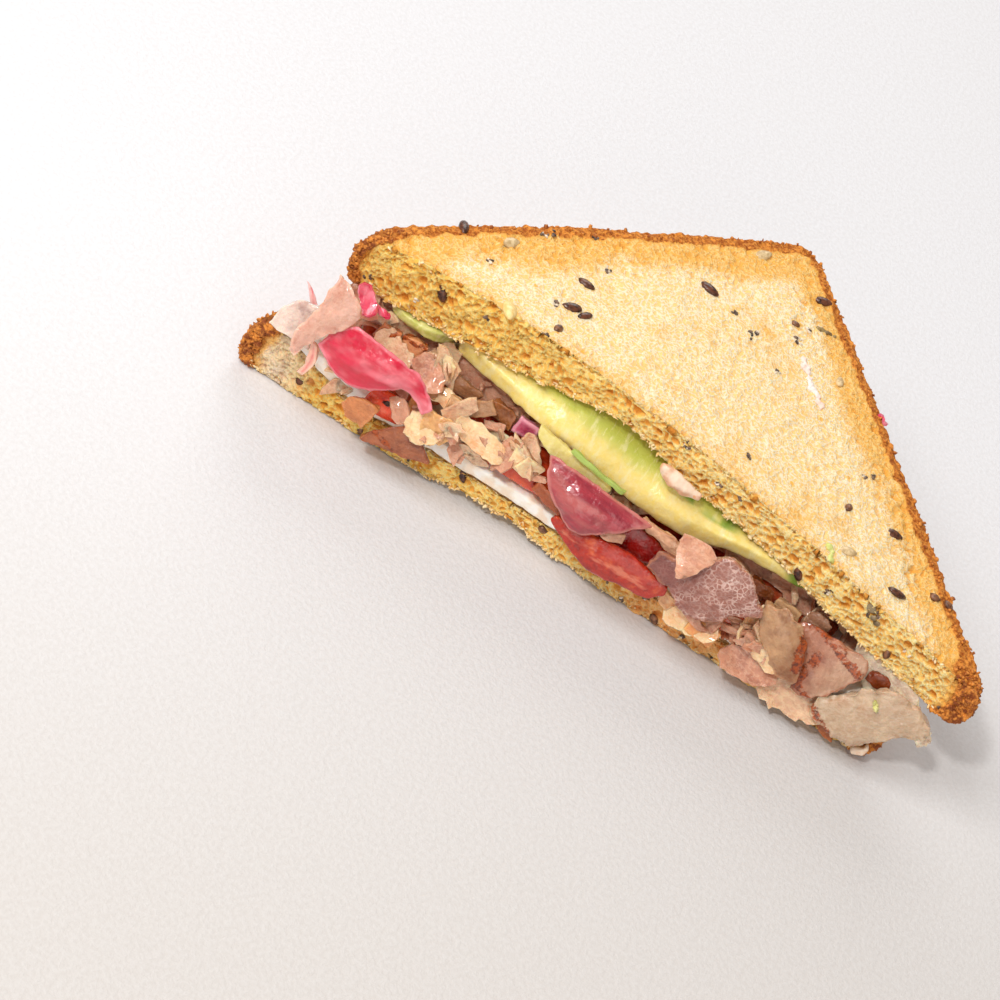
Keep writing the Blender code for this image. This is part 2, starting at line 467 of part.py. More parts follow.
# name, slot, thickness, belly, first depth, stations: x, up of one edge, x, up of the other, depth
FLAKES = (
    ("tomato_dark", "tomato", 2.6, 0.6, -3.0, (
        (3.5, 11.0, 5.0, 16.6, 0), (9.0, 11.5, 10.0, 17.8, 0.4), (15.2, 12.5, 15.5, 16.8, 0))),
    ("ham_left_pale", PALE, 2.0, 0.5, -2.0, (
        (-64.8, 19.6, -60.5, 19.8, -0.5), (-67.4, 16.2, -60.0, 16.0, 0), (-68.0, 11.8, -59.5, 11.6, 0.4))),
    ("meat_browned", SMOKED, 2.6, 0.5, -2.0, (
        (-51.3, 21.8, -50.6, 24.6, 0), (-46.8, 20.6, -46.6, 24.4, 0))),
    ("ham_block_left", PALE, 2.4, 0.4, -2.0, (
        (-46.0, 21.5, -45.8, 25.0, 0), (-43.5, 19.5, -43.3, 25.2, 0.3), (-41.5, 18.9, -41.4, 25.0, 0))),
    ("ham_block_grey", PINK, 2.2, 0.4, -2.0, (
        (-40.8, 20.8, -40.7, 25.0, 0), (-38.5, 19.2, -38.2, 25.0, 0.3), (-36.2, 20.4, -35.9, 24.6, 0))),
    ("ham_block_mid", SMOKED, 2.0, 0.4, -2.0, (
        (-35.2, 20.8, -35.0, 23.8, 0), (-32.0, 20.4, -31.6, 23.4, 0.2), (-28.4, 21.2, -28.0, 22.8, 0))),
    ("ham_back_strip", SMOKED, 1.6, 0.3, -2.4, (
        (-26.5, 21.0, -26.0, 23.6, 0), (-23.0, 20.2, -23.0, 23.8, 0.2), (-20.6, 19.8, -20.6, 22.5, 0))),
    ("ham_slab_tilted", PALE, 1.6, 0.3, -1.5, (
        (-30.0, 19.6, -25.9, 23.0, 0), (-28.8, 17.4, -24.0, 21.0, 0.3))),
    ("ham_shred_left", PINK, 1.4, 0.2, -1.5, (
        (-40.8, 17.4, -39.8, 19.0, 0), (-37.0, 16.6, -36.4, 18.8, 0.2), (-33.8, 17.2, -33.4, 18.8, 0))),
    ("ham_cream_block", PALE, 1.8, 0.3, -1.0, (
        (-33.0, 19.4, -30.2, 19.6, 0), (-32.7, 17.0, -29.2, 17.2, 0.3), (-32.4, 15.0, -29.6, 14.8, 0.2))),
    ("ham_cream_flake", PALE, 1.5, 0.4, -1.0, (
        (-25.3, 16.4, -24.0, 19.4, 0), (-21.0, 15.7, -20.8, 18.8, 0.4), (-17.3, 16.0, -17.1, 18.2, 0.1))),
    ("ham_beige_mid", PINK, 1.6, 0.4, -1.5, (
        (-39.0, 16.6, -35.7, 16.8, 0), (-38.6, 14.0, -34.9, 14.4, 0.3), (-37.6, 11.6, -35.2, 11.8, 0.2))),
    ("ham_strip_long", PALE, 1.2, 0.2, -1.0, (
        (-28.6, 13.9, -28.6, 15.4, 0), (-24.0, 14.2, -24.0, 15.6, 0.3), (-18.0, 14.2, -18.0, 15.4, 0.3),
        (-11.5, 13.7, -11.5, 14.7, 0))),
    ("ham_cream_low", PALE, 1.8, 0.5, -1.0, (
        (-34.8, 14.6, -29.2, 14.8, 0), (-34.4, 11.8, -28.4, 12.4, 0.4), (-33.6, 9.6, -29.6, 10.0, 0.3))),
    ("ham_sliver_low", PALE, 1.4, 0.3, -1.0, (
        (-28.0, 11.3, -27.8, 13.2, 0), (-25.0, 11.1, -24.8, 13.4, 0.2), (-22.3, 11.8, -22.0, 13.0, 0))),
    ("ham_strip_brown", SMOKED, 1.4, 0.2, -1.5, (
        (-19.0, 17.8, -18.5, 19.2, 0), (-15.0, 15.6, -14.4, 18.0, 0.2), (-11.6, 15.2, -11.4, 16.6, 0))),
    ("ham_strip_orange", PINK, 1.3, 0.3, -1.0, (
        (-11.0, 12.4, -10.6, 14.2, 0), (-7.0, 11.2, -6.4, 13.4, 0.2), (-3.2, 10.6, -2.9, 11.4, 0))),
    ("onion_square", "onion", 1.6, 0.3, -1.0, (
        (-20.1, 20.4, -20.0, 23.6, 0), (-15.6, 20.2, -15.9, 23.4, 0))),
    ("tomato_left", "tomato", 2.4, 0.8, -1.0, (
        (-46.0, 9.2, -45.2, 12.2, 0), (-42.0, 7.9, -42.0, 13.2, 0.4), (-37.8, 8.6, -38.2, 12.6, 0))),
    ("ham_low_left", PINK, 1.6, 0.3, 0.4, (
        (-48.8, 6.4, -47.8, 8.2, 0), (-46.6, 4.3, -45.6, 9.2, 0.3), (-43.0, 4.2, -42.6, 8.8, 0.3))),
    ("ham_hanging", SMOKED, 1.5, 0.3, 0.6, (
        (-42.4, 2.4, -42.1, 3.3, 0.2), (-38.5, 2.9, -38.2, 7.6, 0.4), (-35.0, 3.6, -35.4, 9.6, 0.4),
        (-29.2, 4.8, -30.5, 6.6, 0))),
    ("onion_shred_back", "onion", 1.2, 0.1, -1.5, (
        (-57.8, 24.6, -57.0, 25.6, 0), (-54.9, 22.9, -54.3, 24.2, 0), (-52.0, 24.2, -52.4, 25.6, 0))),
    ("onion_petal_left", "onion", 1.3, 1.6, -0.5, (
        (-57.8, 13.8, -57.0, 16.6, 0), (-54.0, 10.9, -54.5, 20.0, 0.6), (-49.5, 10.0, -50.5, 20.4, 0.8),
        (-44.5, 12.3, -45.5, 19.6, 0.6), (-41.3, 15.0, -40.0, 19.0, 0.3), (-38.2, 15.2, -37.2, 17.5, 0.2),
        (-35.2, 13.0, -34.2, 14.8, 0))),
    ("ham_folded_left", PINK, 1.6, 0.7, -0.5, (
        (-61.0, 27.0, -57.6, 25.8, -0.6), (-61.3, 24.0, -54.2, 22.8, 0), (-61.0, 19.6, -55.4, 19.8, 0.3),
        (-62.6, 14.0, -58.4, 15.0, 0.5), (-62.0, 9.2, -60.6, 9.0, 0.5))),
    ("onion_strand_outer", "onion", 1.2, 0.1, -0.5, (
        (-66.6, 23.0, -65.4, 22.2, 0), (-64.4, 20.8, -62.9, 20.2, 0.2), (-62.6, 18.2, -61.2, 17.8, 0))),
    ("onion_strand_low", "onion", 1.1, 0.1, 0.0, (
        (-59.4, 13.4, -57.9, 13.0, 0), (-58.3, 9.8, -56.6, 9.6, 0.2), (-58.9, 6.6, -57.7, 6.3, 0.2))),
    ("tomato_hanging", "tomato", 2.4, 0.9, 0.4, (
        (-4.8, 9.4, -4.4, 10.4, 0), (0.5, 6.8, 1.0, 10.6, 0.3), (6.5, 4.5, 6.0, 11.6, 0.6),
        (12.5, 5.6, 12.0, 12.0, 0.5), (17.5, 6.0, 17.0, 10.8, 0.3), (20.4, 8.8, 20.2, 10.4, 0))),
    ("ham_tip_pale", PALE, 1.1, 0.2, 0.8, (
        (4.2, 11.9, 4.6, 12.8, 0), (6.2, 11.8, 7.0, 13.9, 0.2), (8.4, 13.0, 8.0, 14.6, 0))),
    ("onion_petal_mid", "onion", 1.3, 2.0, -1.0, (
        (-11.8, 20.0, 11.5, 18.6, -1.5), (-10.0, 16.2, 8.6, 16.0, -0.2), (-6.5, 12.8, 4.6, 12.5, 0.4),
        (-1.6, 9.7, 1.0, 9.8, 0.4))),
    ("avocado_under_lower", "avocado", 1.7, 0.2, -1.0, (
        (-15.8, 22.4, -15.9, 24.2, 0), (-10.5, 19.6, -10.0, 23.2, 0.2), (-5.0, 17.9, -4.5, 22.0, 0.4),
        (-0.8, 16.9, 1.6, 20.8, 0.4))),
    ("avocado_under_upper", "avocado", 1.1, 0.1, -1.0, (
        (-9.0, 22.4, -8.8, 23.4, 0), (-3.0, 21.6, -2.6, 22.6, 0.2), (3.6, 21.0, 3.8, 21.8, 0.2))),
    ("sauce_dollop", "sauce", 1.5, 0.7, -3.0, (
        (5.8, 29.8, 6.2, 31.2, 0), (9.0, 27.9, 9.4, 31.2, 0.3), (12.5, 27.0, 12.6, 30.4, 0.3),
        (15.8, 28.7, 15.6, 29.8, 0))),
    ("ham_under_avocado", PALE, 1.6, 0.2, -2.0, (
        (32.2, 19.4, 32.4, 21.4, 0), (35.0, 18.9, 35.0, 21.6, 0.2), (37.6, 19.2, 37.6, 21.2, 0))),
    ("ham_upper_right", PALE, 1.4, 0.2, -1.5, (
        (38.4, 19.2, 38.6, 20.8, 0), (41.0, 18.8, 41.0, 20.8, 0.2), (44.0, 18.8, 43.8, 20.4, 0))),
    ("ham_grey_right", PINK, 1.8, 0.3, -1.5, (
        (45.0, 19.8, 45.2, 22.4, 0), (47.5, 20.2, 47.6, 22.6, 0.2), (49.6, 20.4, 49.6, 21.6, 0))),
    ("tomato_right", "tomato", 2.0, 0.7, -1.0, (
        (29.8, 8.8, 30.6, 10.2, 0), (33.0, 8.8, 33.0, 12.6, 0.3), (36.0, 10.2, 36.0, 13.4, 0.3),
        (38.6, 11.6, 38.4, 12.8, 0))),
    ("ham_beige_low", PALE, 1.4, 0.2, 0.4, (
        (20.4, 7.2, 20.5, 9.2, 0), (22.8, 5.6, 23.0, 9.2, 0.3), (26.2, 6.6, 26.2, 7.4, 0))),
    ("ham_orange_low", PINK, 1.4, 0.2, 0.4, (
        (26.8, 5.2, 27.0, 7.2, 0), (29.5, 4.4, 29.6, 8.2, 0.3), (33.2, 4.4, 33.4, 8.0, 0))),
    ("ham_pink_right", PINK, 1.6, 0.4, -1.0, (
        (35.4, 8.4, 38.6, 11.2, 0), (38.6, 8.6, 41.0, 10.8, 0.2), (42.0, 8.0, 43.6, 9.2, 0))),
    ("ham_marbled", SMOKED, 1.8, 1.2, -0.5, (
        (14.2, 11.8, 15.2, 15.9, -0.4), (20.0, 10.3, 21.0, 16.0, 0), (25.5, 7.8, 25.2, 21.8, 0.2),
        (30.0, 9.5, 31.5, 21.4, 0), (34.5, 14.0, 34.0, 18.5, -0.2), (36.9, 15.6, 36.3, 17.2, -0.4))),
    ("ham_fold_beige", PALE, 1.4, 0.3, -1.0, (
        (9.0, 18.6, 9.2, 19.6, -0.4), (15.0, 16.8, 15.0, 19.4, 0.2), (20.5, 14.9, 20.0, 19.0, 0.6),
        (23.2, 14.6, 23.2, 20.6, 0.4))),
    ("ham_petal_right", PALE, 1.6, 1.2, -0.5, (
        (36.7, 18.8, 43.0, 18.9, -0.6), (37.9, 15.0, 47.4, 15.5, 0), (40.7, 10.8, 48.8, 12.0, 0.4),
        (46.2, 7.4, 49.4, 7.3, 0.4))),
    ("ham_behind_right", SMOKED, 1.6, 0.2, -2.5, (
        (60.6, 16.6, 60.8, 19.0, 0), (63.5, 16.2, 63.5, 18.8, 0), (66.6, 16.2, 65.6, 17.8, 0))),
    ("ham_smoked_fold", SMOKED, 2.0, 0.9, -0.5, (
        (45.8, 19.8, 58.2, 19.8, -0.6), (44.2, 17.8, 60.0, 17.4, -0.2), (48.6, 13.5, 58.4, 13.2, 0.2),
        (49.2, 9.0, 56.0, 9.3, 0.4), (50.0, 6.6, 54.4, 7.2, 0.4))),
    ("turkey_crust", SMOKED, 1.4, 0.2, 0.6, (
        (55.6, 4.2, 55.8, 5.2, 0), (59.0, 2.7, 59.4, 4.4, 0), (62.8, 2.0, 62.4, 3.0, 0))),
    ("turkey_slice", "turkey", 1.7, 1.0, 0.0, (
        (54.8, 5.3, 55.4, 6.4, 0), (58.6, 3.8, 59.5, 12.4, 0.2), (63.5, 2.4, 64.0, 16.4, 0.2),
        (67.5, 5.2, 69.0, 17.2, 0), (72.4, 10.0, 73.0, 16.6, -0.4), (76.0, 12.6, 76.2, 14.2, -0.6))),
    ("sauce_drip", "sauce", 1.6, 0.4, 0.2, (
        (66.4, 2.2, 66.8, 3.4, 0), (68.6, 2.0, 68.2, 4.0, 0.2), (69.6, 4.6, 68.6, 5.2, 0))),
)


# A long edge of an avocado slice: how far back it reaches, where along the cut, and its curve
LEFT_BACK = (19.0, -42.0, 0.0)
LONG_BACK = (27.0, 4.0, 0.006)
MIDDLE_BACK = (45.0, 0.0, 0.009)
FAR_BACK = (62.0, 0.0, 0.020)

# name, start and end along the cut, front edge, back edge
AVOCADOS = (
    ("avocado_left", -51.8, -37.6, None, LEFT_BACK),
    ("avocado_long", -36.8, 44.6, None, LONG_BACK),
    ("avocado_middle", -34.0, 22.0, LONG_BACK, MIDDLE_BACK),
    ("avocado_back", -20.0, 22.0, MIDDLE_BACK, FAR_BACK),
)

# name, centre, radius
TOMATOES = (
    ("tomato_slice_left", (-42.3, 15.0), 12.0),
    ("tomato_slice_mid", (-13.6, 12.5), 15.0),
    ("tomato_slice_right", (18.5, 15.5), 13.8),
    ("tomato_slice_end", (43.0, 11.5), 9.6),
    ("tomato_slice_back", (2.0, 53.0), 13.0),
)


def main():
    for obj in list(bpy.data.objects):
        bpy.data.objects.remove(obj, do_unlink=True)
    parts = bpy.data.collections.new("club_sandwich")
    cutters = bpy.data.collections.new("cutters")
    bpy.context.scene.collection.children.link(parts)
    bpy.context.scene.collection.children.link(cutters)

    solids = [bread("bread_lower", False, parts), bread("bread_upper", True, parts), cheese(parts)]
    for name, centre, radius in TOMATOES:
        solids.append(round_slice(name, centre, radius, 0.0, parts))
        round_slice("room_" + name, centre, radius, ROOM, cutters)
    for name, start, end, front, back in AVOCADOS:
        solids.append(avocado(name, start, end, front, back, 0.0, parts))
        avocado("room_" + name, start, end, front, back, ROOM, cutters)
    ham = heap(parts)
    cut(ham, cutters)
    solids.append(ham)

    bpy.context.view_layer.update()
    graph = bpy.context.evaluated_depsgraph_get()
    laid = [tree_of(solid, graph) for solid in solids]
    for name, slot, thick, belly, start, stations in FLAKES:
        lay(name, slot, thick, belly, start, stations, laid, parts)


main()
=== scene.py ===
"""Looks of half a club sandwich: two toasted seeded slices, cut corner to corner, with their filling.

Sizes are in millimetres in the part's own axes, with X along the cut, Y back to the uncut corner and
Z up, up to the last step, where a mesh is made in metres.
"""

import logging
import math
from collections.abc import Callable, Sequence
from dataclasses import dataclass
from enum import Enum

import bmesh
import bpy
import numpy as np
from mathutils import Matrix, Vector
from mathutils.bvhtree import BVHTree
from mathutils.kdtree import KDTree


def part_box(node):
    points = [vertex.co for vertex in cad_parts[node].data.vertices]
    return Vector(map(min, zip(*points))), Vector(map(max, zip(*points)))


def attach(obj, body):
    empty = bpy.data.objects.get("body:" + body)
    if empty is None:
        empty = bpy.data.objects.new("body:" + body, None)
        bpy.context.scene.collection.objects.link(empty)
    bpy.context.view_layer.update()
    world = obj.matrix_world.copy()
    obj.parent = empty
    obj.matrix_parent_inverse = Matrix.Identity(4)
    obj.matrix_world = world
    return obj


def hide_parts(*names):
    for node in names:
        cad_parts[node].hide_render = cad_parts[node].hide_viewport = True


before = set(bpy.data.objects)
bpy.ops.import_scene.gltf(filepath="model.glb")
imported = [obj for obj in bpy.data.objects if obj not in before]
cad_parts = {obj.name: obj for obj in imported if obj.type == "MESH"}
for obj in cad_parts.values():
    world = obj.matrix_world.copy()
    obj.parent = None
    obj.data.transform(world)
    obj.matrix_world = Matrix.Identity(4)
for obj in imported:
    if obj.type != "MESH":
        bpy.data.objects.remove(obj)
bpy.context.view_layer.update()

MM = 0.001
ROOT = math.sqrt(0.5)
log = logging.getLogger("club_sandwich")

Colour = tuple[float, float, float]
Spot = tuple[float, float, float]
Pair = tuple[float, float]
Band = tuple[float, float, float, float, float]
Array = np.ndarray
Rng = np.random.Generator
BMesh = bmesh.types.BMesh
Mesh = bpy.types.Mesh
Piece = bpy.types.Object
Node = bpy.types.Node
Socket = bpy.types.NodeSocket


# ---------------- numbers and noise


def tint(red: float, green: float, blue: float) -> Colour:
    """Colour as a shader takes it, from the usual 0 to 255 values.

    Args:
        red, green, blue: Display values from 0 to 255.

    Returns:
        The linear colour.
    """
    linear = []
    for value in (red / 255.0, green / 255.0, blue / 255.0):
        linear.append(value / 12.92 if value <= 0.04045 else ((value + 0.055) / 1.055) ** 2.4)
    return linear[0], linear[1], linear[2]


def smooth(value: Array, start: float, end: float) -> Array:
    """0 before start, 1 after end, and an S curve between them.

    Args:
        value: The values to ease.
        start: Where the curve leaves 0.
        end: Where it reaches 1.

    Returns:
        The eased values.
    """
    t = np.clip((value - start) / (end - start), 0.0, 1.0)
    return t * t * (3.0 - 2.0 * t)


def scatter(cell: Array, seed: int) -> Array:
    """A fixed random value from -1 to 1 for each cell of a lattice.

    Args:
        cell: Whole numbers, one row of three for each cell.
        seed: Picks the set of values.

    Returns:
        One value for each row.
    """
    mixed = cell[:, 0] * 374761393 + cell[:, 1] * 668265263 + cell[:, 2] * 2147483647 + seed * 974634777
    mixed = (mixed ^ (mixed >> 13)) * 1274126177
    mixed = (mixed ^ (mixed >> 16)) & 0xFFFFFF
    return mixed / 0x7FFFFF - 1.0


TURN = np.array(Matrix.Rotation(0.6, 3, Vector((1.0, 0.7, 0.4))))  # keeps the lattice off the axes
SEED_STEP = 31.7  # how far apart the patterns of two seeds are read, in lumps


def noise(points: Array, size: float, seed: int) -> Array:
    """Smooth random value from -1 to 1 at each point.

    Args:
        points: Places in millimetres, one row each.
        size: Width of one lump of the noise in millimetres.
        seed: Picks the pattern.

    Returns:
        One value for each point.
    """
    place = points @ TURN / size + SEED_STEP * seed
    cell = np.floor(place).astype(np.int64)
    part = place - cell
    part = part * part * (3.0 - 2.0 * part)
    total = np.zeros(len(points))
    for corner in range(8):
        step = np.array([(corner >> axis) & 1 for axis in range(3)])
        weight = np.prod(np.where(step == 1, part, 1.0 - part), axis=1)
        total += weight * scatter(cell + step, seed)
    return total


def noise_vector(points: Array, size: float, seed: int) -> Array:
    """Three smooth random values at each point, as noise gives one."""
    return np.stack([noise(points, size, seed + axis) for axis in range(3)], axis=1)


def cells(points: Array, size: float, seed: int) -> tuple[Array, Array]:
    """Random cells, as in foam.

    Args:
        points: Places in millimetres, one row each.
        size: Mean width of a cell in millimetres.
        seed: Picks the pattern.

    Returns:
        How far inside its cell each point is, 0 on a wall, and a random value from -1 to 1 of its cell.
    """
    place = points @ TURN / size + SEED_STEP * seed
    base = np.floor(place).astype(np.int64)
    near = np.full(len(points), 9.0)
    following = near.copy()
    value = np.zeros(len(points))
    for number in range(27):
        cell = base + np.array([number % 3, number // 3 % 3, number // 9]) - 1
        centre = cell + 0.5 + 0.45 * np.stack([scatter(cell, seed + axis) for axis in range(3)], axis=1)
        far = np.linalg.norm(place - centre, axis=1)
        closer = far < near
        following = np.where(closer, near, np.minimum(following, far))
        value = np.where(closer, scatter(cell, seed + 3), value)
        near = np.where(closer, far, near)
    return following - near, value


# ---------------- meshes


def points_of(mesh: Mesh) -> Array:
    """Places of the mesh's vertices in millimetres, one row each.

    Args:
        mesh: Mesh in metres.

    Returns:
        The places.
    """
    flat = np.empty(len(mesh.vertices) * 3, np.float32)
    mesh.vertices.foreach_get("co", flat)
    return flat.reshape(-1, 3).astype(float) / MM


def put_points(mesh: Mesh, points: Array) -> None:
    """Moves the mesh's vertices to these places in millimetres."""
    mesh.vertices.foreach_set("co", (points * MM).astype(np.float32).ravel())
    mesh.update()


def normals_of(mesh: Mesh) -> Array:
    """The mesh's vertex normals, one row each.

    Args:
        mesh: Any mesh.

    Returns:
        The normals.
    """
    flat = np.empty(len(mesh.vertices) * 3, np.float32)
    mesh.vertex_normals.foreach_get("vector", flat)
    return flat.reshape(-1, 3).astype(float)


def mark(mesh: Mesh, **marks: Array) -> None:
    """Keeps one number, or one row of three, for each vertex under names that a material can read.

    Args:
        mesh: The mesh to mark.
        marks: Under each name, one number or one row of three for each vertex.
    """
    for name, values in marks.items():
        kind, slot = ("FLOAT", "value") if values.ndim == 1 else ("FLOAT_VECTOR", "vector")
        made = mesh.attributes.new(name, kind, "POINT")
        made.data.foreach_set(slot, values.astype(np.float32).ravel())


def shown(name: str, mesh: Mesh, finish: "Finish", replaces: Sequence[str] = ()) -> Piece:
    """Links a finished mesh as one smooth piece of the sandwich.

    Args:
        name: The piece's name.
        mesh: Its mesh, in metres and in place.
        finish: What it is made of.
        replaces: CAD nodes that the piece stands for.

    Returns:
        The new object.
    """
    mesh.name = name
    mesh.materials.clear()
    mesh.materials.append(finish.material(name + "_finish"))
    mesh.polygons.foreach_set("use_smooth", np.ones(len(mesh.polygons), bool))
    piece = bpy.data.objects.new(name, mesh)
    bpy.context.scene.collection.objects.link(piece)
    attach(piece, "root")
    if replaces:
        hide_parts(*replaces)
    log.info("%s: %d faces", name, len(mesh.polygons))
    return piece


def mesh_from(bm: BMesh, name: str, scale: float = MM) -> Mesh:
    """A mesh from a bmesh, which is freed.

    Args:
        bm: The bmesh, usually in millimetres.
        name: The mesh's name.
        scale: What its sizes are multiplied by.

    Returns:
        The mesh, usually in metres.
    """
    bmesh.ops.scale(bm, vec=Vector((scale,) * 3), verts=bm.verts)
    mesh = bpy.data.meshes.new(name)
    bm.to_mesh(mesh)
    bm.free()
    return mesh


def with_modifier(mesh: Mesh, kind: str, **settings: object) -> Mesh:
    """The mesh as one modifier leaves it.

    Args:
        mesh: The mesh to work on, which is removed afterwards.
        kind: Blender's name of the modifier.
        settings: The modifier's settings.

    Returns:
        A new mesh.
    """
    holder = bpy.data.objects.new("holder", mesh)
    bpy.context.scene.collection.objects.link(holder)
    modifier = holder.modifiers.new("shape", kind)
    for key, value in settings.items():
        setattr(modifier, key, value)
    graph = bpy.context.evaluated_depsgraph_get()
    graph.update()
    made = bpy.data.meshes.new_from_object(holder.evaluated_get(graph))
    bpy.data.objects.remove(holder)
    bpy.data.meshes.remove(mesh)
    return made


def copy_of(mesh: Mesh) -> BMesh:
    """A copy of the mesh in millimetres.

    Args:
        mesh: Mesh in metres.

    Returns:
        The copy.
    """
    bm = bmesh.new()
    bm.from_mesh(mesh)
    bmesh.ops.scale(bm, vec=Vector((1 / MM,) * 3), verts=bm.verts)
    return bm


def merged(node: str) -> BMesh:
    """A copy of a CAD node's mesh in millimetres, merged and with its triangles paired.

    Args:
        node: The node's name.

    Returns:
        The copy.
    """
    bm = copy_of(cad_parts[node].data)
    bmesh.ops.remove_doubles(bm, verts=bm.verts, dist=0.01)
    flat, square = math.radians(50.0), math.radians(170.0)
    bmesh.ops.join_triangles(bm, faces=bm.faces[:], angle_face_threshold=flat, angle_shape_threshold=square)
    return bm


def tree_of(mesh: Mesh) -> BVHTree:
    """The mesh's surface in millimetres, ready for rays.

    Args:
        mesh: Mesh in metres.

    Returns:
        The surface's tree.
    """
    bm = copy_of(mesh)
    tree = BVHTree.FromBMesh(bm)
    bm.free()
    return tree


def turned_to(out: Vector, angle: float = 0.0) -> Matrix:
    """Turns Z to this way, after a turn round Z itself."""
    return out.to_track_quat("Z", "Y").to_matrix() @ Matrix.Rotation(angle, 3, "Z")


# ---------------- shader nodes


class Nodes:
    """Adds and joins the nodes of one material or group."""

    def __init__(self, tree: bpy.types.NodeTree) -> None:
        """Works on this node tree."""
        self.tree = tree

    def feed(self, socket: Socket, value: object) -> None:
        """Links the value to the socket if it is a socket itself, and sets it otherwise.

        Args:
            socket: The input.
            value: A socket, colour or number.
        """
        if isinstance(value, bpy.types.NodeSocket):
            self.tree.links.new(value, socket)
        elif isinstance(value, tuple) and len(value) == 3 and socket.type == "RGBA":
            socket.default_value = (*value, 1.0)
        else:
            socket.default_value = value

    def give(self, node: Node, **inputs: object) -> Node:
        """Feeds the node's sockets, with _ for a space in their names, and hands it back.

        Args:
            node: The node.
            inputs: What each input takes.

        Returns:
            The node.
        """
        for key, value in inputs.items():
            self.feed(node.inputs[key.replace("_", " ")], value)
        return node

    def add(self, kind: str, settings: dict[str, object] | None = None, **inputs: object) -> Node:
        """One node.

        Args:
            kind: Blender's name of the node, without ShaderNode.
            settings: Its own settings.
            inputs: What its sockets get, with _ for a space in their names.

        Returns:
            The node.
        """
        node = self.tree.nodes.new("ShaderNode" + kind)
        for key, value in (settings or {}).items():
            setattr(node, key, value)
        return self.give(node, **inputs)

    def joined(self, node: Node, first: object, second: object) -> Socket:
        """The result of a node that works on two values.

        Args:
            node: The node.
            first, second: What it works on.

        Returns:
            The node's output.
        """
        self.feed(node.inputs[0], first)
        self.feed(node.inputs[1], second)
        return node.outputs[0]

    def place(self) -> Socket:
        """Object coordinates."""
        return self.add("TexCoord").outputs["Object"]

    def mark(self, name: str, output: str = "Fac") -> Socket:
        """What is kept for each vertex under this name: one number, or three as its Vector."""
        return self.add("Attribute", {"attribute_name": name}).outputs[output]

    def noise(self, vector: object, scale: object, detail: float, rough: float = 0.5) -> Socket:
        """Noise from 0 to 1, with this many lumps to a metre."""
        return self.add("TexNoise", Vector=vector, Scale=scale, Detail=detail, Roughness=rough).outputs[0]

    def cloud(self, vector: object, size: float, detail: float = 2.0, rough: float = 0.5) -> Socket:
        """Noise from 0 to 1.

        Args:
            vector: Where the pattern is read, in metres.
            size: Width of a lump in millimetres.
            detail: Octaves of finer noise.
            rough: How strong those are.

        Returns:
            The noise.
        """
        return self.noise(vector, 1.0 / (size * MM), detail, rough)

    def wave(self, vector: object, size: float, detail: float, rough: float = 0.5) -> Socket:
        """The same noise from -0.5 to 0.5."""
        return self.minus(self.cloud(vector, size, detail, rough), 0.5)

    def stretched(self, vector: object, along: float, across: float = 1.0, out: float = 1.0) -> Socket:
        """The vector with each axis scaled."""
        return self.add("Mapping", Vector=vector, Scale=(along, across, out)).outputs[0]

    def math(self, kind: str, first: object, second: object = 0.0, clamp: bool = False) -> Socket:
        """One sum of two numbers.

        Args:
            kind: Blender's name of the operation.
            first, second: The two numbers.
            clamp: Whether the result is kept from 0 to 1.

        Returns:
            The result.
        """
        return self.joined(self.add("Math", {"operation": kind, "use_clamp": clamp}), first, second)

    def times(self, first: object, second: object) -> Socket:
        """The first number times the second."""
        return self.math("MULTIPLY", first, second)

    def plus(self, first: object, second: object) -> Socket:
        """The first number plus the second."""
        return self.math("ADD", first, second)

    def minus(self, first: object, second: object) -> Socket:
        """The first number minus the second."""
        return self.math("SUBTRACT", first, second)

    def ease(self, value: object, low: float, high: float, start: float = 0.0, end: float = 1.0) -> Socket:
        """The value eased from start at low to end at high.

        Args:
            value: What is eased.
            low: Where it leaves start.
            high: Where it reaches end.
            start: The result up to low.
            end: The result from high.

        Returns:
            The eased value.
        """
        node = self.add("MapRange", {"interpolation_type": "SMOOTHSTEP"})
        for socket, number in zip(node.inputs[:5], (value, low, high, start, end), strict=True):
            self.feed(socket, number)
        return node.outputs[0]

    def blend(self, share: object, first: object, second: object, kind: str = "MIX") -> Socket:
        """Two colours mixed.

        Args:
            share: 0 for the first colour, 1 for the second.
            first, second: The two colours.
            kind: Blender's name of the mixing.

        Returns:
            The mixed colour.
        """
        node = self.add("Mix", {"data_type": "RGBA", "blend_type": kind})
        for number, value in ((0, share), (6, first), (7, second)):
            self.feed(node.inputs[number], value)
        return node.outputs[2]

    def layered(self, colour: object, *layers: tuple[object, object]) -> Socket:
        """The colour under others, each of them given as its share and its colour.

        Args:
            colour: The lowest colour.
            layers: Share and colour of each layer, from the lowest.

        Returns:
            The colour on top.
        """
        for share, over in layers:
            colour = self.blend(share, colour, over)
        return colour

    def bump(self, height: object, depth: float, normal: object = None) -> Socket:
        """A normal from a height.

        Args:
            height: The height, mostly from 0 to 1.
            depth: How high 1 is, in millimetres.
            normal: Another bump to build on.

        Returns:
            The normal.
        """
        node = self.add("Bump", Strength=1.0, Distance=depth * MM, Height=height)
        if normal is not None:
            self.give(node, Normal=normal)
        return node.outputs[0]


class Effect(Enum):
    """Shader node groups that more than one finish uses."""

    MOTTLE = "mottle"
    SPECKS = "specks"
    FIBRES = "fibres"
    FILM = "film"


